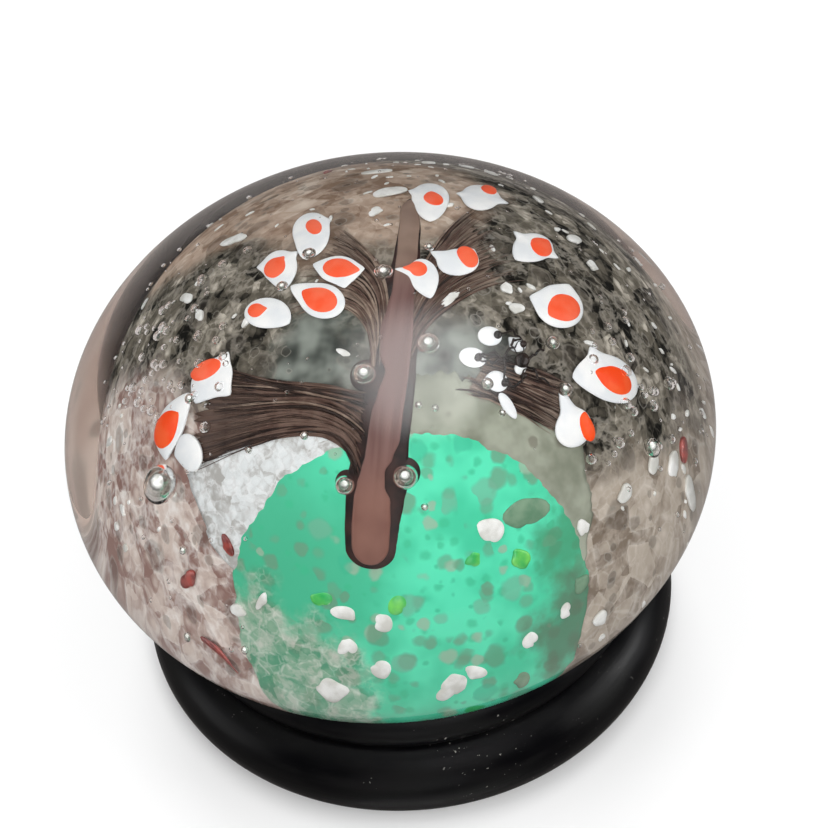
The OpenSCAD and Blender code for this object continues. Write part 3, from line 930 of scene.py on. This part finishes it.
# %% The four fans
FANS = {
    "low_left": dict(low=[(36, -4.5), (51, -8), (47.5, -20), (31, -43)],
                     high=[(55, -4), (56, -14), (54.5, -25), (61, -42)], count=92, thickness=0.19,
                     start=(0.0, 0.06), shades=(6, 5, 1), sheet=(0.02, 1.12), comb=DARK_COMB),
    "high_left": dict(low=[(57, -3.5), (75, -4), (79, -12), (72, -27)],
                      high=[(72, -2.5), (88, -3), (93, -9), (104, -18)], count=76, thickness=0.15,
                      start=(0.0, 0.08), shades=(2, 4, 4), sheet=(0.02, 0.98), comb=PALE_COMB),
    "high_right": dict(low=[(62, 3), (74, 5), (82, 13), (92, 27)],
                       high=[(78, 2), (92, 4), (102, 8), (119, 14)], count=70, thickness=0.15,
                       start=(0.0, 0.1), shades=(3, 4, 3), sheet=(0.1, 0.95), comb=PALE_COMB),
    "low_right": dict(low=[(58, 14), (57, 22), (54, 31), (50, 38)],
                      high=[(67, 18), (66, 28), (66, 35), (65, 42)], count=64, thickness=0.15,
                      start=(0.0, 0.25), shades=(4, 4, 3), sheet=(0.1, 1.04), comb=PALE_COMB),
}
for number, (name, fan) in enumerate(FANS.items()):
    bundle = bmesh.new()
    combed_sheet(bundle, fan["low"], fan["high"], *fan["sheet"], finish=3, seed=number)
    fan_strands(bundle, fan["low"], fan["high"], fan["count"], random.Random(40 + number),
                fan["thickness"], fan["start"], fan["shades"])
    piece_from(f"branch_fan_{name}", bundle, STRAND_GLASSES + [fan["comb"]], "orb", "dark_glass",
               f"branch_fan_{name}")

# %% [markdown]
# ## The blossoms
# Each blossom is a white drop dragged out of round with an orange drop melted into it. They are low
# domes over pulled ovals. The white is slightly bluish at its thin edge and the orange has thicker,
# redder places, so both use noise and the facing angle instead of one flat colour.

# %% Blossom materials
def blossom_glass(name, size, dark, light, edge, roughness=0.3, shine=0.1):
    """Melted glass that shows another colour at its thin edge."""
    made, tree, shader = material(name, Roughness=roughness, Specular_IOR_Level=shine)
    facing = add(tree, "LayerWeight", {"Blend": 0.3}).outputs["Facing"]
    colour = melt(tree, core_places(tree)[0], size, dark, light)
    paint(tree, shader, laid_over(tree, colour, facing, 0.3, edge))
    return made


white_glass = blossom_glass("white blossom glass", 0.0038, srgb(236, 239, 241), srgb(252, 252, 250),
                            srgb(200, 210, 218), 0.35, 0.12)
orange_heart = blossom_glass("orange heart glass", 0.003, srgb(255, 94, 56), srgb(255, 114, 80),
                             srgb(255, 94, 56))
deep_heart = blossom_glass("deep orange heart glass", 0.003, srgb(255, 76, 24), srgb(255, 100, 50),
                           srgb(255, 76, 24))
print("blossom glasses ready")

# %% The fifteen blossoms
# Each row: place; white length, width, turn and pulls; heart's shift, length, width, turn and pulls.
BLOSSOMS = [
    ((102, -23), 10.6, 5.2, 106, [(268, 1.8, 20), (40, 0.5, 18)], (0.4, 0.5), 4.6, 2.2, 111, []),
    ((90, -29), 7.4, 4.8, 120, [(165, 1.0, 14), (45, 0.8, 14), (285, 1.4, 18)],
     (-0.5, -0.3), 4.2, 3.2, 118, [(60, 0.5, 20)]),
    ((86, -14.5), 6.2, 4.8, 150, [(160, 1.0, 15), (0, 0.7, 15), (290, 0.9, 16)],
     (0, 0.1), 4.6, 3.4, 155, [(350, 0.8, 16)]),
    ((77, -17), 7.0, 5.2, 145, [(150, 2.3, 17)], (-0.1, 0), 5.0, 3.6, 147, [(150, 0.9, 18)]),
    ((75, -30), 7.4, 4.6, 160, [(330, 0.7, 18)], (-1.5, 0.5), 2.9, 2.1, 150, [(0, 0.6, 18)]),
    ((57, -42), 7.2, 5.4, 14, [(60, 1.2, 16), (330, 1.3, 16), (235, 0.8, 18)],
     (-0.8, 1.2), 5.0, 2.8, 17, [(190, 0.5, 18)]),
    ((41, -52.5), 7.4, 5.2, 60, [(60, 1.8, 18), (270, 1.0, 16)],
     (-0.5, -0.5), 5.4, 4.1, 50, [(50, 0.7, 18)]),
    ((116, 3), 11.4, 5.2, 93, [(275, 1.6, 18), (150, 0.8, 14)],
     (0.4, -0.8), 4.4, 2.8, 100, [(100, 0.6, 18)]),
    ((123, 14), 10.8, 5.2, 85, [(200, 0.8, 14), (10, 1.3, 16)], (0.8, 3.4), 4.6, 2.2, 89, []),
    ((106, 28), 8.8, 4.8, 65, [(150, 1.2, 14), (5, 1.2, 14), (245, 0.8, 14)],
     (0.9, 0.5), 4.6, 3.3, 75, [(70, 0.6, 16)]),
    ((85, 4.4), 6.2, 4.0, 103, [(170, 1.9, 15), (290, 0.9, 16)],
     (-0.8, 0.9), 2.9, 2.4, 110, [(180, 0.9, 16)]),
    ((91, 11.5), 6.2, 4.8, 44, [(165, 1.5, 15), (60, 0.8, 14)], (1.1, 1.2), 4.2, 2.9, 106, []),
    ((88, 36), 8.8, 6.4, 52, [(190, 1.0, 16), (75, 0.8, 14)], (0.5, -0.1), 5.8, 4.1, 46, [(230, 0.5, 16)]),
    ((72, 51), 11.0, 6.4, 15, [(140, 1.3, 14), (200, 1.3, 15)], (0.7, 0), 6.2, 3.7, 11, [(185, 0.8, 18)]),
    ((53, 41.5), 6.0, 4.8, 30, [(115, 2.9, 15)], (1.9, 0.2), 3.5, 2.3, 126, [(100, 0.5, 18)]),
]
DEEP_HEARTS = (7, 14, 15)
WHITE_H, HEART_H, BLOSSOM_LIFT = 0.45, 0.30, 0.52
for number, row in enumerate(BLOSSOMS, 1):
    spot, length, width, turn, pulls, shift, heart_length, heart_width, heart_turn, heart_pulls = row
    body = bmesh.new()
    dome(body, spot, pulled_oval(length, width, turn, pulls), WHITE_H, base=BLOSSOM_LIFT, sink=0.3)
    heart = bmesh.new()
    dome(heart, spot, pulled_oval(heart_length, heart_width, heart_turn, heart_pulls), HEART_H,
         base=BLOSSOM_LIFT + WHITE_H * 0.7, sink=0.4, shift=shift)
    heart_glass = deep_heart if number in DEEP_HEARTS else orange_heart
    for name, made, finish, slot in [("blossom", body, white_glass, "white_glass"),
                                     ("blossom_heart", heart, heart_glass, "orange_glass")]:
        piece_from(f"{name}_{number:02d}", made, [finish], "orb", slot, f"{name}_{number:02d}")

# %% [markdown]
# ## White drops and dark seeds
# Beside the trunk lie a few small white drops. A fine black thread was drawn through them, and it left a
# black bead at the side of each. One larger white drop sits at the left edge of the hill.

# %% White drops
WHITE_DROPS = [((35, -45), 5.2, 4.2, 150, [(200, 0.6, 20)]), ((71.9, 20.2), 3.3, 2.8, 20, []),
               ((65.8, 16.9), 3.6, 2.8, 0, []), ((61.2, 22.6), 3.0, 2.8, 0, [(190, 0.3, 20)]),
               ((71.4, 26.6), 2.4, 2.0, 30, [(150, 0.5, 20)]), ((65.6, 27.6), 1.9, 1.5, 60, [(300, 0.3, 20)]),
               ((56.2, 25.2), 3.4, 1.5, 130, [(310, 0.5, 20)])]
drops = bmesh.new()
for spot, length, width, turn, pulls in WHITE_DROPS:
    dome(drops, spot, pulled_oval(length, width, turn, pulls, corners=48), 0.30, base=0.55)
piece_from("white_drops", drops, [white_glass], "orb", "white_glass", "white_drops")

# %% Dark seeds and their threads
seed_glass = melted_glass("dark seed glass", 0.0012, srgb(12, 9, 8), srgb(44, 34, 30), 0.2, 0.2)
SEEDS = [((72.6, 21.8), 1.3, 1.1), ((66.0, 18.0), 1.3, 1.0), ((61.2, 24.3), 1.3, 1.0),
         ((71.9, 27.7), 1.1, 0.9), ((67.6, 27.8), 2.3, 1.9), ((63.8, 28.4), 1.0, 0.8)]
# Each thread is a curve through two ends and two guide places.
SEED_THREADS = [[(72.6, 22), (76, 25), (74, 28), (67.6, 27.8)], [(66, 18), (68, 21), (64, 25), (67.6, 27.8)],
                [(66, 18), (63, 22), (69, 23), (67.6, 27.8)], [(61, 24.5), (60, 28), (64, 29), (67.6, 27.8)],
                [(67.6, 28), (70, 31), (72, 32), (73.6, 33.5)], [(67.6, 28), (65, 31), (63, 33), (62.4, 37)],
                [(72, 27.8), (74, 24), (70, 24), (67.6, 27.8)], [(61, 24.5), (66, 22), (72, 25), (72, 27.8)],
                [(66, 18.2), (69, 20), (66, 24), (67.6, 27.8)]]
seeds = bmesh.new()
for spot, length, width in SEEDS:
    dome(seeds, spot, pulled_oval(length, width, 60, corners=36), 0.35, base=0.80, rings=5)
chance = random.Random(7)
for four in SEED_THREADS:
    turn = chance.uniform(0, 6.3)
    spots = []
    for k in range(36):
        up, side = curve_point(four, k / 35)
        spots.append((up + 0.45 * math.sin(turn + k * 0.55), side + 0.3 * math.cos(turn + k * 0.4)))
    strand(seeds, spots, 0.17, 0.95, 0)
piece_from("dark_seeds", seeds, [seed_glass], "orb", "dark_glass", "dark_seeds")

# %% [markdown]
# ## Flecks, chips and granules
# Crushed glass never lies evenly. The large white flecks, red chips and lime chips are listed one by one
# where they catch the eye, and the small ones are scattered with a seeded random generator, more of them at
# the upper right and at the back.

# %% Chips
def chip(bm, spot, length, width, turn, height, chance, base=0.05):
    """A broken flake with rounded corners: an oval whose edge is knocked in and out at random."""
    bumps = [(chance.uniform(0, 360), chance.uniform(-0.22, 0.28) * width, chance.uniform(18, 40))
             for _ in range(5)]
    dome(bm, spot, pulled_oval(length, width, turn, bumps, corners=30), height, base=base, rings=4)


def chips(bm, rows, height, base, chance):
    """Chips from a list. Each row: up, side, length, width, turn."""
    for up, side, length, width, turn in rows:
        chip(bm, (up, side), length, width, turn, height, chance, base)


chance = random.Random(11)
BIG_FLECKS = [(114, -44, 5.2, 1.9, 150), (119, -7, 4.6, 2.8, 40), (137, -11, 3.8, 2.2, 20),
              (153, 0, 2.4, 1.4, 70), (157, 8, 2.2, 1.2, 10), (154, 14, 2.0, 1.2, 60),
              (141, 26, 2.6, 1.4, 120), (124, 37, 2.8, 1.6, 60), (116, 43, 2.4, 1.4, 100),
              (87, 23, 2.2, 1.4, 30), (80, 11, 3.4, 1.2, 50),
              (64, -10.7, 2.0, 0.7, 160), (94, -56, 3.0, 1.4, 130),
              (81, -50, 2.6, 1.4, 110), (74, -35, 2.6, 1.0, 60), (82, 26, 2.2, 1.4, 20),
              (108, -9, 2.8, 1.6, 80),
              (44, 67, 3.0, 1.8, 70), (43, 75, 3.2, 1.8, 60), (12, 81, 3.6, 1.8, 80), (32, 57, 2.4, 1.6, 30),
              (25, 45, 2.2, 1.4, 120), (3, 40, 2.0, 1.4, 60), (-5, 48, 2.2, 1.4, 20), (27, 24, 3.2, 2.7, 60),
              (0, -4.5, 2.4, 2.0, 30), (7, 2.3, 2.6, 2.2, 100), (-1.7, 32, 2.2, 1.9, 0),
              (8, -5.5, 3.0, 1.8, 10),
              (0, -28, 2.4, 1.6, 45), (5, -23, 3.0, 0.9, 70), (-4, 2, 2.6, 2.2, 50), (-8, 16, 3.2, 2.0, 20),
              (-6, 20.5, 2.6, 1.6, 160), (-10, 14.5, 2.6, 1.6, 30), (-11, -8, 2.4, 3.4, 10)]
flecks = bmesh.new()
chips(flecks, BIG_FLECKS, 0.20, 0.30, chance)
for _ in range(110):
    up, side = chance.uniform(74, 215), max(-80, min(80, chance.gauss(14, 36)))
    size = chance.uniform(0.35, 1.0)
    chip(flecks, (up, side), size * chance.uniform(1, 2.2), size * 0.7, chance.uniform(0, 180), 0.16,
         chance)
for _ in range(22):
    up, side = chance.uniform(-35, 40), chance.choice((-1, 1)) * chance.uniform(40, 80)
    size = chance.uniform(0.3, 0.9)
    chip(flecks, (up, side), size * 1.4, size, chance.uniform(0, 180), 0.16, chance)

fleck_glass = melted_glass("white fleck glass", 0.0024, srgb(214, 213, 206), srgb(246, 246, 243), 0.5, 0.0)
piece_from("white_flecks", flecks, [fleck_glass], "orb", "white_glass", "white_flecks")

red_glass = melted_glass("red-brown chip glass", 0.0016, srgb(96, 26, 24), srgb(164, 70, 60), 0.3)
reds = bmesh.new()
chips(reds, [(-1, -41, 3.2, 1.6, 60), (15, -32, 3.0, 1.4, 130), (57, 80, 3.0, 1.8, 90),
             (-22, 24, 1.8, 1.0, 20), (150, -22, 1.8, 1.0, 60)], 0.30, 0.18, chance)
strand(reds, [(-14 - k * 0.1 + 1.2 * math.sin(k * 0.16), -36 + k * 0.45) for k in range(21)], 0.45, 0.3, 0)
piece_from("red_chips", reds, [red_glass], "orb", "red_brown_glass", "red_chips")

lime_glass = melted_glass("lime chip glass", 0.0029, srgb(30, 170, 84), srgb(120, 214, 90), 0.3)
limes = bmesh.new()
chips(limes, [(10, -10, 2.6, 1.8, 30), (11, 5, 2.8, 2.2, 70), (20, 30, 2.4, 1.8, 20),
              (21, 20, 2.0, 1.6, 100)], 0.26, 0.20, chance)
piece_from("green_chips", limes, [lime_glass], "orb", "lime_glass", "green_chips")

# %% [markdown]
# ## Clear granules and bubbles
# A few larger clear granules lie on the core, each a soft grey-green lump. The bubbles are air, which
# bends light strongly inside glass. A small one is true hollow glass, bright in the middle with a dark
# ring, and a large one has some silver mixed in, because it throws back the sky above it.

# %% Granules and bubbles
silver_air, tree, shader = material("silvered air", Metallic=1.0, Roughness=0.06)
paint(tree, shader, melt(tree, core_places(tree)[0], 0.0014, srgb(176, 178, 172), srgb(238, 240, 236)))
edge = add(tree, "LayerWeight", {"Blend": 0.5}).outputs["Facing"]
silver_share = between(tree, edge, 0.0, 0.75, 0.72, 0.15)
mixed = add(tree, "MixShader", {0: silver_share, 1: add(tree, "BsdfGlass", HOLLOW).outputs[0],
                                2: shader.outputs[0]})
let_lamps_through(tree, mixed.outputs[0])

granule_glass = melted_glass("clear granule glass", 0.0033, srgb(92, 132, 104), srgb(132, 160, 134),
                             0.25, 0.1, 5.0)
grains = bmesh.new()
chips(grains, [(31, 31, 7.4, 3.8, 5), (8, 44, 2.4, 1.8, 30), (-12, 30, 2.4, 1.8, 80)], 0.32, 0.16, chance)
piece_from("clear_granules", grains, [granule_glass], "orb", "granule_glass", "clear_granules")

BUBBLES = [((25, -48.6), 2.5), ((59, -5.2), 1.6), ((84, -4.2), 1.35), ((67, 7), 1.6), ((39, 5), 1.6),
           ((36, -6.8), 1.25), ((93, 4.6), 0.75), ((62.5, 37.4), 1.0), ((91, -21.4), 1.0),
           ((81.5, -26.3), 0.85),
           ((51, -45.7), 0.75), ((74, 33.7), 1.0), ((60, 20), 0.85), ((53.6, 6.4), 0.5), ((53.3, 9.8), 0.5),
           ((45, -16.2), 0.6), ((40, -28.3), 0.5), ((33, 9.3), 0.5), ((54, 23.8), 0.5), ((8.6, -41.7), 0.5),
           ((-14, -38), 0.5), ((-7, -25), 0.5), ((51, 63), 1.3)]
chance = random.Random(23)
scattered = []
for _ in range(260):
    up, side = chance.uniform(-30, 230), max(-84, min(84, chance.gauss(0, 44)))
    if math.hypot(up - HILL_SPOT[0], side - HILL_SPOT[1]) >= HILL_REACH:
        scattered.append(((up, side), chance.uniform(0.10, 0.36)))
# Clusters of larger bubbles in the dark crushed glass, first at the left and then at the right.
for count, ups, sides in [(64, (40, 104), (-74, -38)), (30, (40, 110), (44, 74))]:
    for _ in range(count):
        scattered.append(((chance.uniform(*ups), chance.uniform(*sides)), chance.uniform(0.3, 0.85)))


def bubble(bm, spot, radius, lift, subdivisions=3):
    """A round bubble just off the core, in the clear glass."""
    middle = on_core(spot, 0, 0, lift + radius)
    bmesh.ops.create_icosphere(bm, subdivisions=subdivisions, radius=radius * MM,
                               matrix=Matrix.Translation(middle))


def inside_orb(spot):
    """Whether a place on the core lies well above the ground flat, and so inside the glass."""
    return on_core(spot, 0, 0, 0).z > FLAT_Z + 4 * MM


air = bmesh.new()
for spot, radius in BUBBLES:
    bubble(air, spot, radius, 0.5 if radius > 1 else 0.9)
piece_from("air_bubbles", air, [silver_air], "orb", "clear_glass")
fine_air = bmesh.new()
for spot, radius in filter(lambda item: inside_orb(item[0]), scattered):
    bubble(fine_air, spot, radius, 0.3, subdivisions=2)
piece_from("fine_bubbles", fine_air, [bubble_air], "orb", "clear_glass")

# %% [markdown]
# ## The black stand
# The stand is one turned ring: a fat round foot, a groove, a thin bead, and a dished seat for the orb.
# It is spun from its own outline with smooth curves, because the lacquer shows every facet in its
# highlights. A round recess under it holds the felt pad.

# %% Stand mesh
stand_low, stand_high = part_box("stand_ring")
pad_low, pad_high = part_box("felt_pad")
PAD_R, PAD_T = (pad_high.x - pad_low.x) / 2 / MM, (pad_high.z - pad_low.z) / MM
BULGE_R, BULGE_RING_R, BULGE_H = 7, stand_high.x / MM - 7, 6.4
BEAD_R, BEAD_RING_R, BEAD_H = 3.2, 36.6, 15.8
DISH_R, DISH_FLOOR = 31, 11.4
SEAT_GAP = 0.1


def arc(ring_r, height, radius, first, last, steps):
    turns = [math.radians(first + (last - first) * i / steps) for i in range(steps + 1)]
    return [(ring_r + radius * math.cos(a), height + radius * math.sin(a)) for a in turns]


def seat_height(r):
    """The orb's underside above the table in mm at a radius, less the running gap."""
    return ORB_CENTRE.z / MM - ORB_HALF_H / MM * math.sqrt(1 - (r * MM / ORB_R) ** 2) - SEAT_GAP


bead = [(r, z) for r, z in arc(BEAD_RING_R, BEAD_H, BEAD_R, 150, -49, 44) if z < seat_height(r) - 0.05]
seat = [(r, seat_height(r)) for r in (DISH_R + 0.3, DISH_R + 1, DISH_R + 1.8, DISH_R + 2.6)]
seat = [(r, z) for r, z in seat if r < bead[0][0] - 0.2]
bulge = arc(BULGE_RING_R, BULGE_H, BULGE_R, 82, -55.5, 64)
RECESS_R, RECESS_TOP = PAD_R + 0.1, pad_high.z / MM
outline = ([(0, RECESS_TOP), (RECESS_R, RECESS_TOP), (RECESS_R, stand_low.z / MM)]
           + bulge[::-1] + bead[::-1] + seat[::-1]
           + [(DISH_R, seat_height(DISH_R) - 0.4), (DISH_R, DISH_FLOOR + 0.3), (DISH_R - 0.3, DISH_FLOOR),
              (DISH_R / 2, DISH_FLOOR), (0, DISH_FLOOR)])
stand = spun([(r * MM, z * MM) for r, z in outline], 240)

# %% [markdown]
# ## The stand's lacquer
# Brushed black lacquer over turned wood isn't a mirror. Fine rings from the lathe run round it, the brush
# left soft bands in the shine, and pale dust specks are scattered over it.

# %% Lacquer and felt
RINGS_PER_METRE, DUST_PER_METRE, DUSTY_PER_METRE, FIBRES_PER_METRE = 900.0, 1500.0, 60.0, 1800.0
lacquer, tree, shader = material("black lacquer", Roughness=0.4, Specular_IOR_Level=0.06)
here = add(tree, "TexCoord").outputs["Object"]
apart = add(tree, "SeparateXYZ", {"Vector": here}).outputs
squares = [maths(tree, "MULTIPLY", apart[axis], apart[axis]) for axis in ("X", "Y")]
reach = maths(tree, "SQRT", maths(tree, "ADD", *squares))
lathe_place = add(tree, "CombineXYZ", {"X": maths(tree, "MULTIPLY", reach, RINGS_PER_METRE),
                                       "Y": maths(tree, "MULTIPLY", apart["Z"], RINGS_PER_METRE)})
lathe = add(tree, "TexNoise", {"Vector": lathe_place.outputs[0], "Scale": 1.0, "Detail": 3.0})
brush = add(tree, "TexNoise", {"Vector": vector_maths(tree, "MULTIPLY", here, (70, 70, 420)).outputs[0],
                               "Scale": 1.0, "Detail": 4.0})
dust = add(tree, "TexNoise", {"Vector": here, "Scale": DUST_PER_METRE, "Detail": 2.0})
dusty = add(tree, "TexNoise", {"Vector": here, "Scale": DUSTY_PER_METRE, "Detail": 3.0})
speck = maths(tree, "MULTIPLY", between(tree, dust.outputs["Fac"], 0.70, 0.76),
              between(tree, dusty.outputs["Fac"], 0.5, 0.65))
base = blend_colour(tree, between(tree, brush.outputs["Fac"], 0.35, 0.7), srgb(2, 2, 3), srgb(8, 8, 8))
paint(tree, shader, laid_over(tree, base, speck, 0.6, srgb(150, 148, 142)))
tree.links.new(between(tree, brush.outputs["Fac"], 0.3, 0.7, 0.30, 0.48), shader.inputs["Roughness"])
lathe_bump = add(tree, "Bump", {"Height": lathe.outputs["Fac"], "Strength": 0.25, "Distance": 0.0001})
brush_bump = add(tree, "Bump", {"Height": brush.outputs["Fac"], "Strength": 0.2, "Distance": 0.0004,
                                "Normal": lathe_bump.outputs["Normal"]})
tree.links.new(brush_bump.outputs["Normal"], shader.inputs["Normal"])
piece_from("turned_stand", stand, [lacquer], "stand", "black_lacquer", "stand_ring")

felt, tree, shader = material("black felt", Roughness=0.95, Specular_IOR_Level=0.05)
here = add(tree, "TexCoord").outputs["Object"]
fibres = add(tree, "TexNoise", {"Vector": here, "Scale": FIBRES_PER_METRE, "Detail": 4.0})
fluff = between(tree, fibres.outputs["Fac"], 0.35, 0.65)
paint(tree, shader, blend_colour(tree, fluff, srgb(18, 18, 19), srgb(44, 43, 44)))
felt_bump = add(tree, "Bump", {"Height": fibres.outputs["Fac"], "Strength": 0.6, "Distance": 0.0003})
tree.links.new(felt_bump.outputs["Normal"], shader.inputs["Normal"])
PAD_EASE, PAD_CORNER = 0.25, 0.07
pad_section = [(0, 0), (PAD_R - PAD_EASE, 0), (PAD_R - PAD_CORNER, PAD_CORNER), (PAD_R, PAD_EASE),
               (PAD_R, PAD_T - PAD_EASE), (PAD_R - PAD_CORNER, PAD_T - PAD_CORNER),
               (PAD_R - PAD_EASE, PAD_T), (0, PAD_T)]
pad = spun([(r * MM, z * MM) for r, z in pad_section], 160)
piece_from("felt_disc", pad, [felt], "stand", "black_felt", "felt_pad")

# %% [markdown]
# ## The room
# The floor is a large pale sheet under an even, white room, as in a light tent, so every colour in the
# glass reads true. A light tent would also lay a grey veil of reflections over the orb, so what the
# glass mirrors is kept dim: a dark room with one soft window almost overhead. What is seen through the
# glass is brighter toward the top.

# %% Floor
floor_material, tree, shader = material("white table", Base_Color=(0.9, 0.9, 0.9, 1), Roughness=0.9,
                                        Specular_IOR_Level=0.0)
path = add(tree, "LightPath")
dim_floor = add(tree, "BsdfDiffuse", {"Color": (0.28, 0.26, 0.25, 1)})
mirrored = add(tree, "MixShader", {0: path.outputs["Is Glossy Ray"], 1: shader.outputs[0],
                                   2: dim_floor.outputs[0]})
let_lamps_through(tree, mirrored.outputs[0])
FLOOR_HALF, FLOOR_GAP = 3.0, 0.0002
floor_mesh = bmesh.new()
corners = [floor_mesh.verts.new((x * FLOOR_HALF, y * FLOOR_HALF, cad_low[2] - FLOOR_GAP))
           for x, y in ((-1, -1), (1, -1), (1, 1), (-1, 1))]
floor_mesh.faces.new(corners)
mesh = bpy.data.meshes.new("table")
floor_mesh.to_mesh(mesh)
floor_mesh.free()
mesh.materials.append(floor_material)
table = bpy.data.objects.new("table", mesh)
scene.collection.objects.link(table)

# %% World
ROOM_LIGHT, MIRRORED_ROOM = 0.35, 0.07
WINDOW_AZIMUTH, WINDOW_HEIGHT, WINDOW_REACH, WINDOW_LIGHT = 32, 78, 25, 4.8
OVERHEAD_LIGHT = 2.2
world = bpy.data.worlds.new("room")
scene.world = world
world.use_nodes = True
tree = world.node_tree
background = tree.nodes["Background"]
background.inputs["Color"].default_value = (1, 1, 1, 1)
ray = add(tree, "TexCoord").outputs["Generated"]
azimuth, height = math.radians(WINDOW_AZIMUTH), math.radians(WINDOW_HEIGHT)
window_direction = (math.cos(height) * math.cos(azimuth), math.cos(height) * math.sin(azimuth),
                    math.sin(height))
toward = vector_maths(tree, "DOT_PRODUCT", ray, window_direction).outputs["Value"]
glow = between(tree, toward, math.cos(math.radians(WINDOW_REACH)), 1.0, 0.0, WINDOW_LIGHT)
mirrored_light = maths(tree, "ADD", glow, MIRRORED_ROOM)
path = add(tree, "LightPath")
rise = add(tree, "SeparateXYZ", {"Vector": ray}).outputs["Z"]
seen_through_glass = between(tree, rise, 0.1, 0.95, 0.2, OVERHEAD_LIGHT)


def choose(flag, here, otherwise):
    return maths(tree, "MULTIPLY_ADD", flag, maths(tree, "SUBTRACT", here, otherwise), otherwise)


strength = choose(path.outputs["Is Glossy Ray"], mirrored_light, ROOM_LIGHT)
inside = maths(tree, "GREATER_THAN", path.outputs["Transmission Depth"], 0.5)
strength = choose(inside, seen_through_glass, strength)
tree.links.new(strength, background.inputs["Strength"])

# %% [markdown]
# ## Lamps
# Seven soft lamps stand round the orb on all sides, one of them below the floor, which lets lamplight
# through. Two more stand in for light that the casing throws back up under the core, and a small one
# puts the shine on the stand. Light that bounces about inside the casing is left out for speed, so a
# lamp must count in full when it is sampled directly. Turning off its multiple importance sampling does
# that, and it also keeps the lamp's own outline out of reflections.

# %% Lamps
LAMP_DISTANCE = 1.0


def lamp(name, azimuth, height, power, size=0.6, only=None):
    """A soft square lamp a metre off that faces the orb. It may light one piece alone."""
    data = bpy.data.lights.new(name, "AREA")
    data.size, data.energy = size, power
    data.cycles.use_multiple_importance_sampling = False
    made = bpy.data.objects.new(name, data)
    scene.collection.objects.link(made)
    turn, rise = math.radians(azimuth), math.radians(height)
    away = Vector((math.cos(rise) * math.cos(turn), math.cos(rise) * math.sin(turn), math.sin(rise)))
    made.location = ORB_CENTRE + away * LAMP_DISTANCE
    made.rotation_euler = (-away).to_track_quat("-Z", "Y").to_euler()
    if only:
        lit = bpy.data.collections.new(name + " lights")
        lit.objects.link(only)
        made.light_linking.receiver_collection = lit
        made.light_linking.blocker_collection = lit


# Each row: name, azimuth and height in degrees, power in watts.
for row in [("top", 0, 88, 3.4), ("front high", -80, 48, 4.5), ("front low", -95, 4, 3.3),
            ("left", 190, 12, 4.2), ("right", -12, 12, 4.2), ("back", 90, 28, 3.0),
            ("below", -90, -50, 1.8)]:
    lamp(*row)
core_alone, stand_alone = bpy.data.objects["core_ball"], bpy.data.objects["turned_stand"]
lamp("casing glow left", 150, -32, 4.8, only=core_alone)
lamp("casing glow right", 30, -32, 3.0, only=core_alone)
lamp("stand highlight", -6, 26, 8, size=0.3, only=stand_alone)
print("room ready")

# %% [markdown]
# ## Render settings
# The core is seen through glass and its bubbles, so light needs many transmission bounces. Caustics are
# off, because the shadow-ray trick already lights the inside.

# %% Settings
scene.view_settings.view_transform = "Standard"
scene.view_settings.look = "None"
cycles = scene.cycles
cycles.max_bounces = 24
cycles.transmission_bounces = 20
cycles.transparent_max_bounces = 24
cycles.glossy_bounces = 6
cycles.diffuse_bounces = 4
cycles.caustics_reflective = False
cycles.caustics_refractive = False
cycles.use_denoising = True
